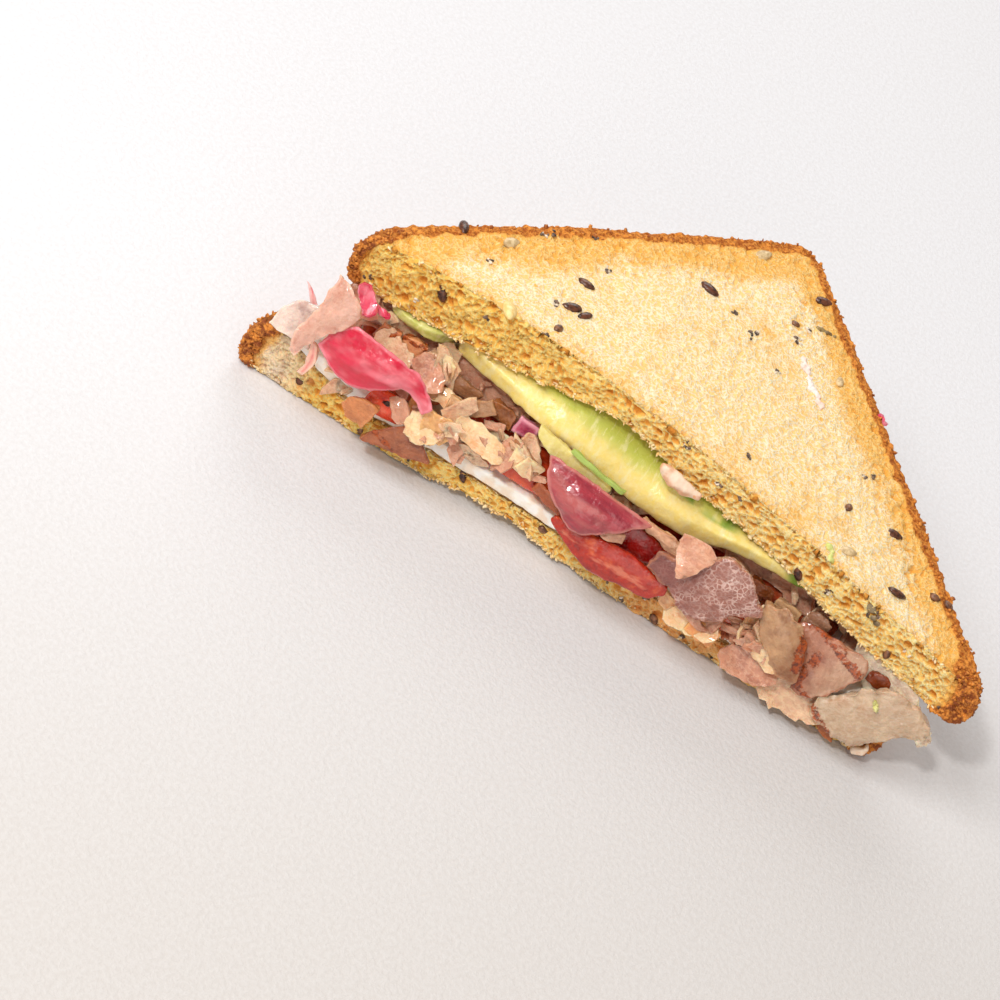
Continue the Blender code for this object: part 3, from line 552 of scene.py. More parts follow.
def new_group(
    effect: Effect, takes: dict[str, float | Colour], *gives: str
) -> tuple[Nodes, object, object]:
    """An empty node group that takes a Vector, and these numbers and colours.

    Args:
        effect: Which group it is.
        takes: Name and default of each further input.
        gives: Names of its outputs.

    Returns:
        The group's nodes, the sockets it takes and the sockets it gives, by name.
    """
    tree = bpy.data.node_groups.new(effect.value, "ShaderNodeTree")
    tree.interface.new_socket(name="Vector", in_out="INPUT", socket_type="NodeSocketVector")
    for name, value in takes.items():
        coloured = isinstance(value, tuple)
        kind = "NodeSocketColor" if coloured else "NodeSocketFloat"
        socket = tree.interface.new_socket(name=name, in_out="INPUT", socket_type=kind)
        socket.default_value = (*value, 1.0) if coloured else value
    for name in gives:
        kind = "NodeSocketColor" if name == "Colour" else "NodeSocketFloat"
        tree.interface.new_socket(name=name, in_out="OUTPUT", socket_type=kind)
    start, end = tree.nodes.new("NodeGroupInput"), tree.nodes.new("NodeGroupOutput")
    return Nodes(tree), start.outputs, end.inputs


def build_mottle() -> None:
    """Three tones laid in soft lumps, with finer lumps in them."""
    tones = {"Dark": (0.2, 0.1, 0.1), "Middle": (0.5, 0.4, 0.3), "Light": (0.9, 0.8, 0.7)}
    nodes, takes, gives = new_group(Effect.MOTTLE, {"Scale": 200.0, **tones}, "Colour")
    big = nodes.noise(takes["Vector"], takes["Scale"], 3.0)
    small = nodes.noise(takes["Vector"], nodes.times(takes["Scale"], 3.7), 2.0)
    both = nodes.plus(nodes.times(big, 0.68), nodes.times(small, 0.32))
    low = nodes.blend(nodes.ease(both, 0.32, 0.5), takes["Dark"], takes["Middle"])
    nodes.feed(gives["Colour"], nodes.blend(nodes.ease(both, 0.5, 0.68), low, takes["Light"]))


def build_specks() -> None:
    """Small round specks, in a share of the cells of a random pattern."""
    nodes, takes, gives = new_group(Effect.SPECKS, {"Scale": 500.0, "Share": 0.3, "Width": 0.3}, "Mask")
    cell = nodes.add("TexVoronoi", Vector=takes["Vector"], Scale=takes["Scale"]).outputs
    picked = nodes.add("SeparateColor", Color=cell["Color"]).outputs[0]
    chosen = nodes.math("LESS_THAN", picked, takes["Share"])
    near = nodes.math("SUBTRACT", 1.0, nodes.math("DIVIDE", cell["Distance"], takes["Width"]), True)
    nodes.feed(gives["Mask"], nodes.times(chosen, nodes.ease(near, 0.0, 0.45)))


def build_fibres() -> None:
    """Fibres along the first axis, as in meat."""
    nodes, takes, gives = new_group(Effect.FIBRES, {"Scale": 900.0, "Stretch": 0.16}, "Mask", "Height")
    bent = nodes.add("TexNoise", Vector=takes["Vector"], Scale=260.0, Detail=1.0).outputs["Color"]
    shift = nodes.add("VectorMath", {"operation": "SCALE"}, Vector=bent, Scale=0.0012).outputs[0]
    moved = nodes.joined(nodes.add("VectorMath", {"operation": "ADD"}), takes["Vector"], shift)
    scale = nodes.add("CombineXYZ", X=takes["Stretch"], Y=1.0, Z=1.0).outputs[0]
    long = nodes.joined(nodes.add("VectorMath", {"operation": "MULTIPLY"}), moved, scale)
    strands = nodes.noise(long, takes["Scale"], 3.0, 0.6)
    nodes.feed(gives["Mask"], nodes.ease(strands, 0.42, 0.62))
    nodes.feed(gives["Height"], strands)


def build_film() -> None:
    """Where a surface is wet: a roughness that varies in patches."""
    nodes, takes, gives = new_group(Effect.FILM, {"Scale": 300.0, "Wet": 0.18, "Dry": 0.5}, "Roughness")
    share = nodes.ease(nodes.noise(takes["Vector"], takes["Scale"], 3.0), 0.4, 0.6)
    span = nodes.minus(takes["Dry"], takes["Wet"])
    nodes.feed(gives["Roughness"], nodes.plus(takes["Wet"], nodes.times(span, share)))


BUILDERS: dict[Effect, Callable[[], None]] = {
    Effect.MOTTLE: build_mottle,
    Effect.SPECKS: build_specks,
    Effect.FIBRES: build_fibres,
    Effect.FILM: build_film,
}


def use(nodes: Nodes, effect: Effect, vector: Socket, scale: float, **inputs: object) -> object:
    """Places a shared group in a material, built at its first use.

    Args:
        nodes: The material's nodes.
        effect: Which group.
        vector: Where its pattern is read, in metres.
        scale: How many lumps of it there are to a metre.
        inputs: What its other inputs get.

    Returns:
        The group's outputs, by name.
    """
    if effect.value not in bpy.data.node_groups:
        BUILDERS[effect]()
    group = {"node_tree": bpy.data.node_groups[effect.value]}
    return nodes.add("Group", group, Vector=vector, Scale=scale, **inputs).outputs


def film(nodes: Nodes, place: Socket, scale: float, wet: float, dry: float) -> Socket:
    """Roughness of a surface that is wet in patches."""
    return use(nodes, Effect.FILM, place, scale, Wet=wet, Dry=dry)["Roughness"]


class Finish:
    """What a piece is made of."""

    def material(self, name: str) -> bpy.types.Material:
        """A new material of this finish.

        Args:
            name: Its name.

        Returns:
            The material.
        """
        made = bpy.data.materials.new(name)
        made.use_nodes = True
        made.node_tree.nodes.clear()
        nodes = Nodes(made.node_tree)
        shader = nodes.add("BsdfPrincipled")
        nodes.add("OutputMaterial", Surface=shader.outputs[0])
        self.paint(nodes, shader)
        return made

    def paint(self, nodes: Nodes, shader: Node) -> None:
        """Adds the finish's own nodes and feeds the shader."""
        raise NotImplementedError


# ---------------- finishes


@dataclass(frozen=True)
class ToastedBread(Finish):
    """Shaggy cream and golden crumb, granular brown crust, and a torn cut with open pores painted darker
    inside as shade.
    """

    cream: Colour = tint(255, 238, 206)
    gold: Colour = tint(254, 210, 136)
    amber: Colour = tint(242, 178, 84)
    # the pore colours are painted shade in the pits, darker as they sink deeper
    pore: Colour = tint(246, 178, 76)
    deep_pore_shade: Colour = tint(214, 130, 40)
    dot: Colour = tint(246, 176, 50)
    crust_light: Colour = tint(230, 148, 62)
    crust_dark: Colour = tint(158, 80, 22)
    scorched: Colour = tint(92, 46, 18)
    cut_light: Colour = tint(255, 232, 168)
    cut_dark: Colour = tint(255, 204, 112)
    left_cast: Colour = tint(255, 244, 208)  # over the left of the cut
    stained: Colour = tint(238, 160, 96)
    whitish: Colour = tint(240, 222, 200)

    def paint(self, nodes: Nodes, shader: Node) -> None:
        """Crumb, cut and crust by the slice's marks.

        Args:
            nodes, shader: The material's nodes and its shader.
        """
        place, pore_shade_depth = nodes.place(), nodes.mark("pore")
        web = self.web(nodes, place, 0.8)
        fine = nodes.cloud(place, 0.45, 4.0, 0.7)
        shag = nodes.plus(nodes.times(web, 0.4), nodes.times(fine, 0.9))
        broad = nodes.minus(nodes.cloud(place, 13.0, 3.0, 0.6), nodes.times(nodes.mark("warm"), 0.36))
        broad = nodes.ease(broad, 0.22, 0.5)
        low = nodes.blend(broad, self.amber, self.gold)
        high = nodes.blend(broad, self.gold, self.cream)
        golden = nodes.blend(nodes.ease(shag, 0.45, 0.85), self.amber, self.gold)
        dots = use(nodes, Effect.SPECKS, place, 520.0, Share=0.05, Width=0.3)["Mask"]
        torn = nodes.blend(nodes.ease(shag, 0.46, 0.76), self.cut_dark, self.cut_light)
        along = nodes.add("SeparateXYZ", Vector=place).outputs[0]
        torn = nodes.blend(nodes.ease(along, -0.04, 0.03, 1.0, 0.0), torn, self.left_cast, "MULTIPLY")
        granule = nodes.cloud(place, 0.8, 4.0, 0.7)
        crust = nodes.blend(nodes.ease(granule, 0.36, 0.64), self.crust_dark, self.crust_light)
        edge = nodes.plus(nodes.mark("crust"), nodes.times(nodes.minus(fine, 0.5), 0.7))
        burnt = nodes.plus(nodes.mark("scorch"), nodes.minus(granule, 0.5))
        colour = nodes.layered(
            nodes.blend(nodes.ease(shag, 0.46, 0.8), low, high),
            (nodes.times(nodes.mark("near_cut"), 0.55), golden),
            (nodes.times(dots, 0.75), self.dot),
            (nodes.mark("cut"), torn),
            # painted shade in the pores, darker in the deeper ones
            (nodes.ease(pore_shade_depth, 0.1, 0.6, 0.0, 0.85), self.pore),
            (nodes.ease(pore_shade_depth, 0.55, 1.0, 0.0, 0.8), self.deep_pore_shade),
            (nodes.mark("whitish"), self.whitish),
            (nodes.mark("stain"), self.stained),
            (nodes.ease(edge, 0.05, 0.4, 0.0, 0.8), self.amber),
            (nodes.ease(edge, 0.4, 0.75), crust),
            (nodes.ease(burnt, 0.35, 0.8), self.scorched),
        )
        rough = nodes.bump(nodes.cloud(place, 0.4, 4.0, 0.7), 0.26)
        nodes.give(
            shader, Base_Color=colour, Roughness=0.85, Specular_IOR_Level=0.25, Subsurface_Weight=0.25,
            Subsurface_Radius=(1.0, 0.75, 0.35), Subsurface_Scale=0.001,
            Normal=nodes.bump(web, 0.13, rough),
        )

    @staticmethod
    def web(nodes: Nodes, place: Socket, size: float) -> Socket:
        """Fine walls between pores of this size in millimetres, 1 on a wall.

        Args:
            nodes: The material's nodes.
            place: Where the pattern lies.
            size: Width of a pore.

        Returns:
            The mask.
        """
        ridges = nodes.add(
            "TexNoise", {"noise_type": "RIDGED_MULTIFRACTAL"}, Vector=place, Scale=1.0 / (size * MM),
            Detail=2.5, Roughness=0.6, Offset=0.9, Gain=1.6,
        )
        return nodes.ease(ridges.outputs[0], 0.2, 1.6)


@dataclass(frozen=True)
class ToastedCrust(Finish):
    """Granular crust, from golden to dark brown."""

    light: Colour = tint(226, 144, 56)
    dark: Colour = tint(138, 66, 16)

    def paint(self, nodes: Nodes, shader: Node) -> None:
        """Two tones in fine lumps.

        Args:
            nodes, shader: The material's nodes and its shader.
        """
        place = nodes.place()
        share = nodes.ease(nodes.cloud(place, 1.4, 4.0, 0.7), 0.38, 0.62)
        colour = nodes.blend(share, self.dark, self.light)
        normal = nodes.bump(nodes.cloud(place, 0.35, 3.0, 0.7), 0.15)
        nodes.give(shader, Base_Color=colour, Roughness=0.75, Normal=normal)


@dataclass(frozen=True)
class ToastedCrumb(ToastedCrust):
    """Torn crumb, from cream to golden."""

    light: Colour = tint(255, 236, 190)
    dark: Colour = tint(242, 196, 118)


@dataclass(frozen=True)
class SeedCoat(Finish):
    """Seed or kernel in two tones."""

    light: Colour
    dark: Colour
    gloss: float = 0.35

    def paint(self, nodes: Nodes, shader: Node) -> None:
        """Two tones in soft lumps.

        Args:
            nodes, shader: The material's nodes and its shader.
        """
        place = nodes.place()
        share = nodes.ease(nodes.cloud(place, 0.9, 3.0, 0.6), 0.36, 0.64)
        colour = nodes.blend(share, self.dark, self.light)
        normal = nodes.bump(nodes.cloud(place, 0.35, 2.0), 0.05)
        nodes.give(shader, Base_Color=colour, Roughness=self.gloss, Normal=normal)


@dataclass(frozen=True)
class Meat(Finish):
    """Cooked ham: soft mottled tones, fine fibres, fat in veins, another tone at its rim, and a wet sheen.

    Where other is given, the tone turns into it along the cut between two places.
    """

    tone: Colour
    marbling: float = 0.25
    dark: Colour | None = None
    fat: Colour | None = None
    rim: Colour | None = None
    other: Colour | None = None
    turns: Pair = (0.0, 1.0)  # along the cut, in millimetres
    seared: Colour = tint(168, 70, 8)
    charred: Colour = tint(92, 30, 4)
    wet: float = 0.06
    dry: float = 0.2
    see_through: float = 0.4
    netted: bool = False  # fat in a fine net too, whose white also paints the wet surface's glints
    net_size: float = 0.85  # of one of its meshes

    def shade(self, factor: float, warm: float = 1.0) -> Colour:
        """The tone made lighter or darker."""
        red, green, blue = self.tone
        return min(1.0, red * factor), min(1.0, green * factor * warm), min(1.0, blue * factor * warm)

    def paint(self, nodes: Nodes, shader: Node) -> None:
        """Mottled tones, fibres, veins, rim and browned bands.

        Args:
            nodes, shader: The material's nodes and its shader.
        """
        grain, place = nodes.mark("grain", "Vector"), nodes.place()
        dark = self.dark or self.shade(0.66, 0.85)
        tones = {"Dark": dark, "Middle": self.tone, "Light": self.shade(1.25, 1.05)}
        colour = use(nodes, Effect.MOTTLE, place, 240.0, **tones)["Colour"]
        wave = nodes.wave(place, 2.6, 4.0, 0.6)
        crisp = nodes.wave(place, 1.3, 5.0, 0.75)
        vein = self.veins(nodes, grain, place, crisp)
        if self.other is not None:
            along = nodes.times(nodes.add("SeparateXYZ", Vector=place).outputs[0], 1.0 / MM)
            turned = nodes.ease(nodes.plus(along, nodes.times(wave, 9.0)), *self.turns)
            colour = nodes.blend(nodes.times(turned, 0.85), colour, self.other)
            vein = nodes.times(vein, nodes.plus(turned, 0.1))
        fibres = use(nodes, Effect.FIBRES, grain, 1100.0, Stretch=0.16)
        near_rim = nodes.plus(nodes.mark("rim"), nodes.times(wave, 1.4))
        sear = nodes.plus(nodes.mark("sear"), nodes.times(crisp, 4.0))
        sear = nodes.times(nodes.ease(sear, 0.5, 1.0), nodes.ease(nodes.mark("sear"), 0.02, 0.3))
        burnt = nodes.ease(nodes.cloud(place, 0.7, 4.0, 0.7), 0.44, 0.6)
        colour = nodes.layered(
            colour,
            (nodes.times(fibres["Mask"], 0.2), dark),
            (vein, self.fat or self.shade(1.5, 1.15)),
            (nodes.times(nodes.ease(near_rim, 0.5, 1.2), 0.6), self.rim or self.shade(1.28, 1.08)),
            (nodes.times(sear, 0.95), nodes.blend(burnt, self.seared, self.charred)),
        )
        low = nodes.bump(fibres["Height"], 0.09)
        low = nodes.bump(nodes.cloud(place, 0.6, 3.0, 0.6), 0.24, low)
        nodes.give(
            shader, Base_Color=colour, Roughness=film(nodes, place, 420.0, self.wet, self.dry),
            Subsurface_Weight=nodes.minus(self.see_through, nodes.times(sear, self.see_through)),
            Subsurface_Radius=(1.0, 0.55, 0.4), Subsurface_Scale=0.0014, Specular_IOR_Level=0.35,
            Coat_Weight=0.45, Coat_Roughness=0.06,
            Normal=nodes.bump(nodes.cloud(place, 1.8, 3.0, 0.6), 0.36, low),
        )

    def veins(self, nodes: Nodes, grain: Socket, place: Socket, crisp: Socket) -> Socket:
        """How much fat shows: in veins, and in a fine net where the ham has one, whose white also paints
        glints of the wet surface.

        Args:
            nodes: The material's nodes.
            grain: Places along the piece's own axes.
            place: Places in the part.
            crisp: Fine noise around 0.

        Returns:
            The share of fat, and in the net also of painted glints.
        """
        veins = nodes.cloud(nodes.stretched(grain, 0.55), 1.7, 4.0, 0.65)
        thin = nodes.math("ABSOLUTE", nodes.minus(veins, 0.5))
        vein = nodes.times(nodes.ease(thin, 0.0, 0.06, 1.0, 0.0), self.marbling)
        if not self.netted:
            return vein
        meshes = 1.0 / (self.net_size * MM)
        # the net: fat, and painted highlights of wet glints
        net = nodes.add("TexVoronoi", {"feature": "DISTANCE_TO_EDGE"}, Vector=place, Scale=meshes)
        patch = nodes.times(nodes.ease(nodes.cloud(place, 3.0, 3.0), 0.4, 0.6), 0.75)
        edge = nodes.plus(net.outputs["Distance"], nodes.times(crisp, 0.5))
        line = nodes.ease(edge, 0.0, 0.2, 1.0, 0.0)
        return nodes.math("ADD", nodes.times(vein, 0.3), nodes.times(line, patch), clamp=True)


@dataclass(frozen=True)
class PickledOnion(Finish):
    """Glossy pink onion petal with veins along it and pale patches."""

    tone: Colour = tint(222, 70, 105)
    deep: Colour = tint(176, 38, 70)
    pale: Colour = tint(246, 176, 180)
    pale_share: float = 0.4

    def paint(self, nodes: Nodes, shader: Node) -> None:
        """Streaks of three tones along the petal.

        Args:
            nodes, shader: The material's nodes and its shader.
        """
        grain, place = nodes.mark("grain", "Vector"), nodes.place()
        streak = nodes.cloud(nodes.stretched(grain, 0.12), 1.3, 3.0, 0.6)
        patch = nodes.cloud(nodes.stretched(grain, 0.4), 4.0, 2.0)
        colour = nodes.layered(
            nodes.blend(nodes.ease(streak, 0.34, 0.6, 0.35), self.deep, self.tone),
            (nodes.times(nodes.ease(patch, 0.44, 0.68), self.pale_share), self.pale),
            (nodes.times(nodes.ease(nodes.mark("rim"), 0.3, 1.0), 0.7), self.pale),
        )
        crumple = nodes.bump(nodes.cloud(place, 2.4, 3.0, 0.6), 0.5)
        fine = nodes.bump(nodes.cloud(nodes.stretched(grain, 0.5), 0.6, 4.0, 0.7), 0.1, crumple)
        nodes.give(
            shader, Base_Color=colour, Roughness=film(nodes, place, 300.0, 0.08, 0.24),
            Subsurface_Weight=0.4, Subsurface_Radius=(1.0, 0.35, 0.4), Subsurface_Scale=0.0015,
            Coat_Weight=0.6, Coat_Roughness=0.08, Normal=nodes.bump(streak, 0.06, fine),
        )


@dataclass(frozen=True)
class TomatoFlesh(Finish):
    """Wet tomato: red wall, pale streaks that are partly paler core and partly painted sheen, jelly gloss.
    """

    tone: Colour = tint(214, 58, 34)
    deep: Colour = tint(160, 22, 10)
    light: Colour = tint(226, 84, 44)
    pale: Colour = tint(236, 150, 116)
    pale_share: float = 0.35

    def paint(self, nodes: Nodes, shader: Node) -> None:
        """Red in soft lumps with pale streaks.

        Args:
            nodes, shader: The material's nodes and its shader.
        """
        grain, place = nodes.mark("grain", "Vector"), nodes.place()
        tones = {"Dark": self.deep, "Middle": self.tone, "Light": self.light}
        colour = use(nodes, Effect.MOTTLE, place, 210.0, **tones)["Colour"]
        # pale streaks: partly the paler core, partly a painted pinkish sheen
        streak = nodes.cloud(nodes.stretched(grain, 0.35), 2.2, 3.0, 0.6)
        share = nodes.times(nodes.ease(streak, 0.52, 0.68), self.pale_share)
        low = nodes.bump(nodes.cloud(place, 0.9, 3.0, 0.6), 0.3)
        nodes.give(
            shader, Base_Color=nodes.blend(share, colour, self.pale),
            Roughness=film(nodes, place, 260.0, 0.05, 0.17), Subsurface_Weight=0.35,
            Subsurface_Radius=(1.0, 0.25, 0.15), Subsurface_Scale=0.002,
            Coat_Weight=0.5, Coat_Roughness=0.06,
            Normal=nodes.bump(nodes.cloud(place, 2.2, 3.0, 0.6), 0.6, low),
        )


@dataclass(frozen=True)
class AvocadoFlesh(Finish):
    """Ripe avocado: yellow at the front, greener behind, dark green under the skin side."""

    yellow: Colour = tint(240, 214, 118)
    green: Colour = tint(190, 194, 84)
    skin: Colour = tint(124, 156, 50)
    pale: Colour = tint(240, 230, 178)
    dot: Colour = tint(226, 120, 40)

    def paint(self, nodes: Nodes, shader: Node) -> None:
        """Yellow to green by the distance behind the front edge.

        Args:
            nodes, shader: The material's nodes and its shader.
        """
        place = nodes.place()
        behind = nodes.plus(nodes.mark("behind"), nodes.times(nodes.wave(place, 5.0, 3.0), 3.0))
        fine = nodes.ease(nodes.cloud(place, 1.1, 4.0, 0.6), 0.35, 0.65)
        yellow = nodes.blend(fine, self.yellow, nodes.blend(0.35, self.yellow, self.pale))
        streak = nodes.cloud(nodes.stretched(place, 1.0, 0.3, 0.3), 1.3, 4.0, 0.65)
        dots = use(nodes, Effect.SPECKS, place, 300.0, Share=0.12, Width=0.07)["Mask"]
        colour = nodes.layered(
            nodes.blend(nodes.ease(behind, 1.2, 4.6), yellow, self.green),
            (nodes.times(nodes.ease(streak, 0.52, 0.66), 0.5), self.pale),
            (nodes.times(dots, 0.8), self.dot),
            (nodes.mark("skin"), self.skin),
        )
        nodes.give(
            shader, Base_Color=colour, Roughness=film(nodes, place, 260.0, 0.22, 0.45),
            Subsurface_Weight=0.25, Subsurface_Radius=(0.9, 1.0, 0.3), Subsurface_Scale=0.0015,
            Normal=nodes.bump(nodes.cloud(place, 1.4, 4.0, 0.6), 0.18),
        )


@dataclass(frozen=True)
class Cream(Finish):
    """Cheese and creamy sauces: smooth lumps, a faint stain, soft gloss."""

    tone: Colour = tint(246, 238, 226)
    shade: Colour = tint(226, 206, 184)
    speck: Colour = tint(226, 150, 92)
    speck_share: float = 0.1
    wet: float = 0.3
    dry: float = 0.5

    def paint(self, nodes: Nodes, shader: Node) -> None:
        """Two soft tones and a few specks.

        Args:
            nodes, shader: The material's nodes and its shader.
        """
        place = nodes.place()
        tone = nodes.blend(nodes.ease(nodes.cloud(place, 3.0, 3.0), 0.38, 0.6), self.shade, self.tone)
        specks = use(nodes, Effect.SPECKS, place, 700.0, Share=self.speck_share, Width=0.34)["Mask"]
        nodes.give(
            shader, Base_Color=nodes.blend(nodes.times(specks, 0.7), tone, self.speck),
            Roughness=film(nodes, place, 300.0, self.wet, self.dry), Subsurface_Weight=0.3,
            Subsurface_Radius=(1.0, 0.8, 0.6), Subsurface_Scale=0.0015,
            Normal=nodes.bump(nodes.cloud(place, 1.2, 3.0, 0.6), 0.2),
        )


@dataclass(frozen=True)
class StudioFloor(Finish):
    """Matt off-white board with a very fine leathery grain, and painted shade that darkens it towards the
    front and right as the light falls off.
    """

    # far is the floor where the light is strongest; near is painted shade, as the light falls off towards
    # the front
    far: Colour = tint(226, 226, 229)
    near: Colour = tint(208, 204, 201)
    grain: Colour = tint(250, 249, 248)

    def paint(self, nodes: Nodes, shader: Node) -> None:
        """Two tones from back to front, the nearer one painted shade of the light's falloff, with grain.

        Args:
            nodes, shader: The material's nodes and its shader.
        """
        place = nodes.place()
        place_x, place_y, _ = nodes.add("SeparateXYZ", Vector=place).outputs
        # painted shade: the floor darkens away from the back and left, as the light falls off
        back = nodes.minus(nodes.times(place_y, 0.9), nodes.times(place_x, 0.44))
        tone = nodes.blend(nodes.ease(back, -0.14, 0.05), self.near, self.far)
        share = nodes.ease(nodes.cloud(place, 0.9, 2.0), 0.3, 0.7)
        grain = nodes.blend(share, self.grain, (1.0, 1.0, 1.0))
        normal = nodes.bump(nodes.cloud(place, 0.9, 3.0, 0.6), 0.16)
        colour = nodes.blend(1.0, tone, grain, "MULTIPLY")
        nodes.give(shader, Base_Color=colour, Roughness=0.8, Specular_IOR_Level=0.2, Normal=normal)


# ---------------- bread


SIDE = 106.0  # side of a whole slice
CORNER = 10.0  # radius of its corners on the cut
UNCUT_CORNER = 6.0
CRUST_ROUND = 1.6  # how far the crust bulges between its edges
READ_INSET = 2.6  # how far inside the crust the CAD slice's heights are read
PORE_DEPTH = 1.15
AT_EDGE = 1e-4  # how near a face of the unit block counts as on it
BACK_OF_CUT = SIDE * ROOT / 3.0  # from the cut edge to the part's origin
TIP = SIDE * ROOT - CORNER * (math.sqrt(2.0) - 1.0)


def on_slice(unit: Array, inset: Array) -> tuple[Array, Array]:
    """Places on a half slice with round corners, inset from its crust.

    Args:
        unit: Places on half of a square of side 2, turned by 45 degrees.
        inset: How far in from the crust each lies, in millimetres.

    Returns:
        Places along and behind the cut, in millimetres.
    """
    p, q = ROOT * (unit[:, 0] + unit[:, 1]), ROOT * (unit[:, 1] - unit[:, 0])
    size = SIDE / 2.0 - inset
    p, q = p * size, q * size
    radius = np.where(np.minimum(p, q) > 0.0, UNCUT_CORNER, CORNER)
    flat = size - radius
    corner = (np.abs(p) > flat) & (np.abs(q) > flat)
    u, v = (np.abs(p) - flat) / radius, (np.abs(q) - flat) / radius
    round_p = np.sign(p) * (flat + radius * u * np.sqrt(np.maximum(0.0, 1.0 - v * v / 2.0)))
    round_q = np.sign(q) * (flat + radius * v * np.sqrt(np.maximum(0.0, 1.0 - u * u / 2.0)))
    p, q = np.where(corner, round_p, p), np.where(corner, round_q, q)
    return ROOT * (p - q), ROOT * (p + q)


class HeightMap:
    """Height of a CAD node's upper or lower surface over a grid of places."""

    STEP = 1.0
    MARGIN = 6.0  # of the grid round the node's box
    CLEAR = 10.0  # from the box to where the rays start
    BLURS = 3

    def __init__(self, node: str, from_above: bool) -> None:
        """Reads the surface and smooths its facets.

        Args:
            node: The CAD node.
            from_above: Whether it reads the upper surface, not the lower one.
        """
        low, high = (np.array(corner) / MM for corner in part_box(node))
        self.corner = low[:2] - self.MARGIN
        count = np.ceil((high[:2] + self.MARGIN - self.corner) / self.STEP).astype(int) + 1
        tree = tree_of(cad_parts[node].data)
        start = high[2] + self.CLEAR if from_above else low[2] - self.CLEAR
        way = Vector((0.0, 0.0, -1.0 if from_above else 1.0))
        heights = np.full(count, np.nan)
        for i in range(count[0]):
            for j in range(count[1]):
                x, y = self.corner + self.STEP * np.array([i, j])
                hit = tree.ray_cast(Vector((x, y, start)), way)[0]
                if hit is not None:
                    heights[i, j] = hit.z
        self.heights = self.filled(heights)

    @staticmethod
    def around(grid: Array) -> Array:
        """The grid and its eight neighbours, stacked.

        Args:
            grid: Any grid.

        Returns:
            Nine grids of its size.
        """
        wide = np.pad(grid, 1, mode="edge")
        rows, columns = grid.shape
        return np.stack([wide[i : i + rows, j : j + columns] for i in range(3) for j in range(3)])

    def filled(self, heights: Array) -> Array:
        """Gaps filled from their neighbours, then a light blur.

        Args:
            heights: The grid, with nan where nothing was hit.

        Returns:
            The grid with a height everywhere.
        """
        while np.isnan(heights).any():
            around = self.around(heights)
            known = ~np.isnan(around)
            total = np.where(known, around, 0.0).sum(0)
            count = known.sum(0)
            mean = np.where(count > 0, total / np.maximum(count, 1), np.nan)
            heights = np.where(np.isnan(heights), mean, heights)
        for _ in range(self.BLURS):
            heights = self.around(heights).mean(0)
        return heights

    def at(self, x: Array, y: Array) -> Array:
        """Heights at these places.

        Args:
            x, y: Places along X and Y in millimetres.

        Returns:
            One height for each place.
        """
        rows, columns = self.heights.shape
        i = np.clip((x - self.corner[0]) / self.STEP, 0.0, rows - 1.001)
        j = np.clip((y - self.corner[1]) / self.STEP, 0.0, columns - 1.001)
        i0, j0 = i.astype(int), j.astype(int)
        u, v = i - i0, j - j0
        near = self.heights[i0, j0] * (1 - v) + self.heights[i0, j0 + 1] * v
        far = self.heights[i0 + 1, j0] * (1 - v) + self.heights[i0 + 1, j0 + 1] * v
        return near * (1 - u) + far * u


@dataclass
class Surface:
    """The points of a slice while it is shaped, and where each lies."""

    points: Array
    behind: Array  # how far behind the cut
    down: Array  # how far under the top surface
    reach: Array  # 1 at the crust, less away from it
    on_cut: Array
    on_top: Array
    on_under: Array

    def thickness(self) -> Array:
        """Thickness of the slice along its cut, read at each point's place along it.

        Returns:
            One measure for each point.
        """
        low_edge = self.on_cut & self.on_under
        order = np.argsort(self.points[low_edge, 0])
        return np.interp(self.points[:, 0], self.points[low_edge, 0][order], self.down[low_edge][order])


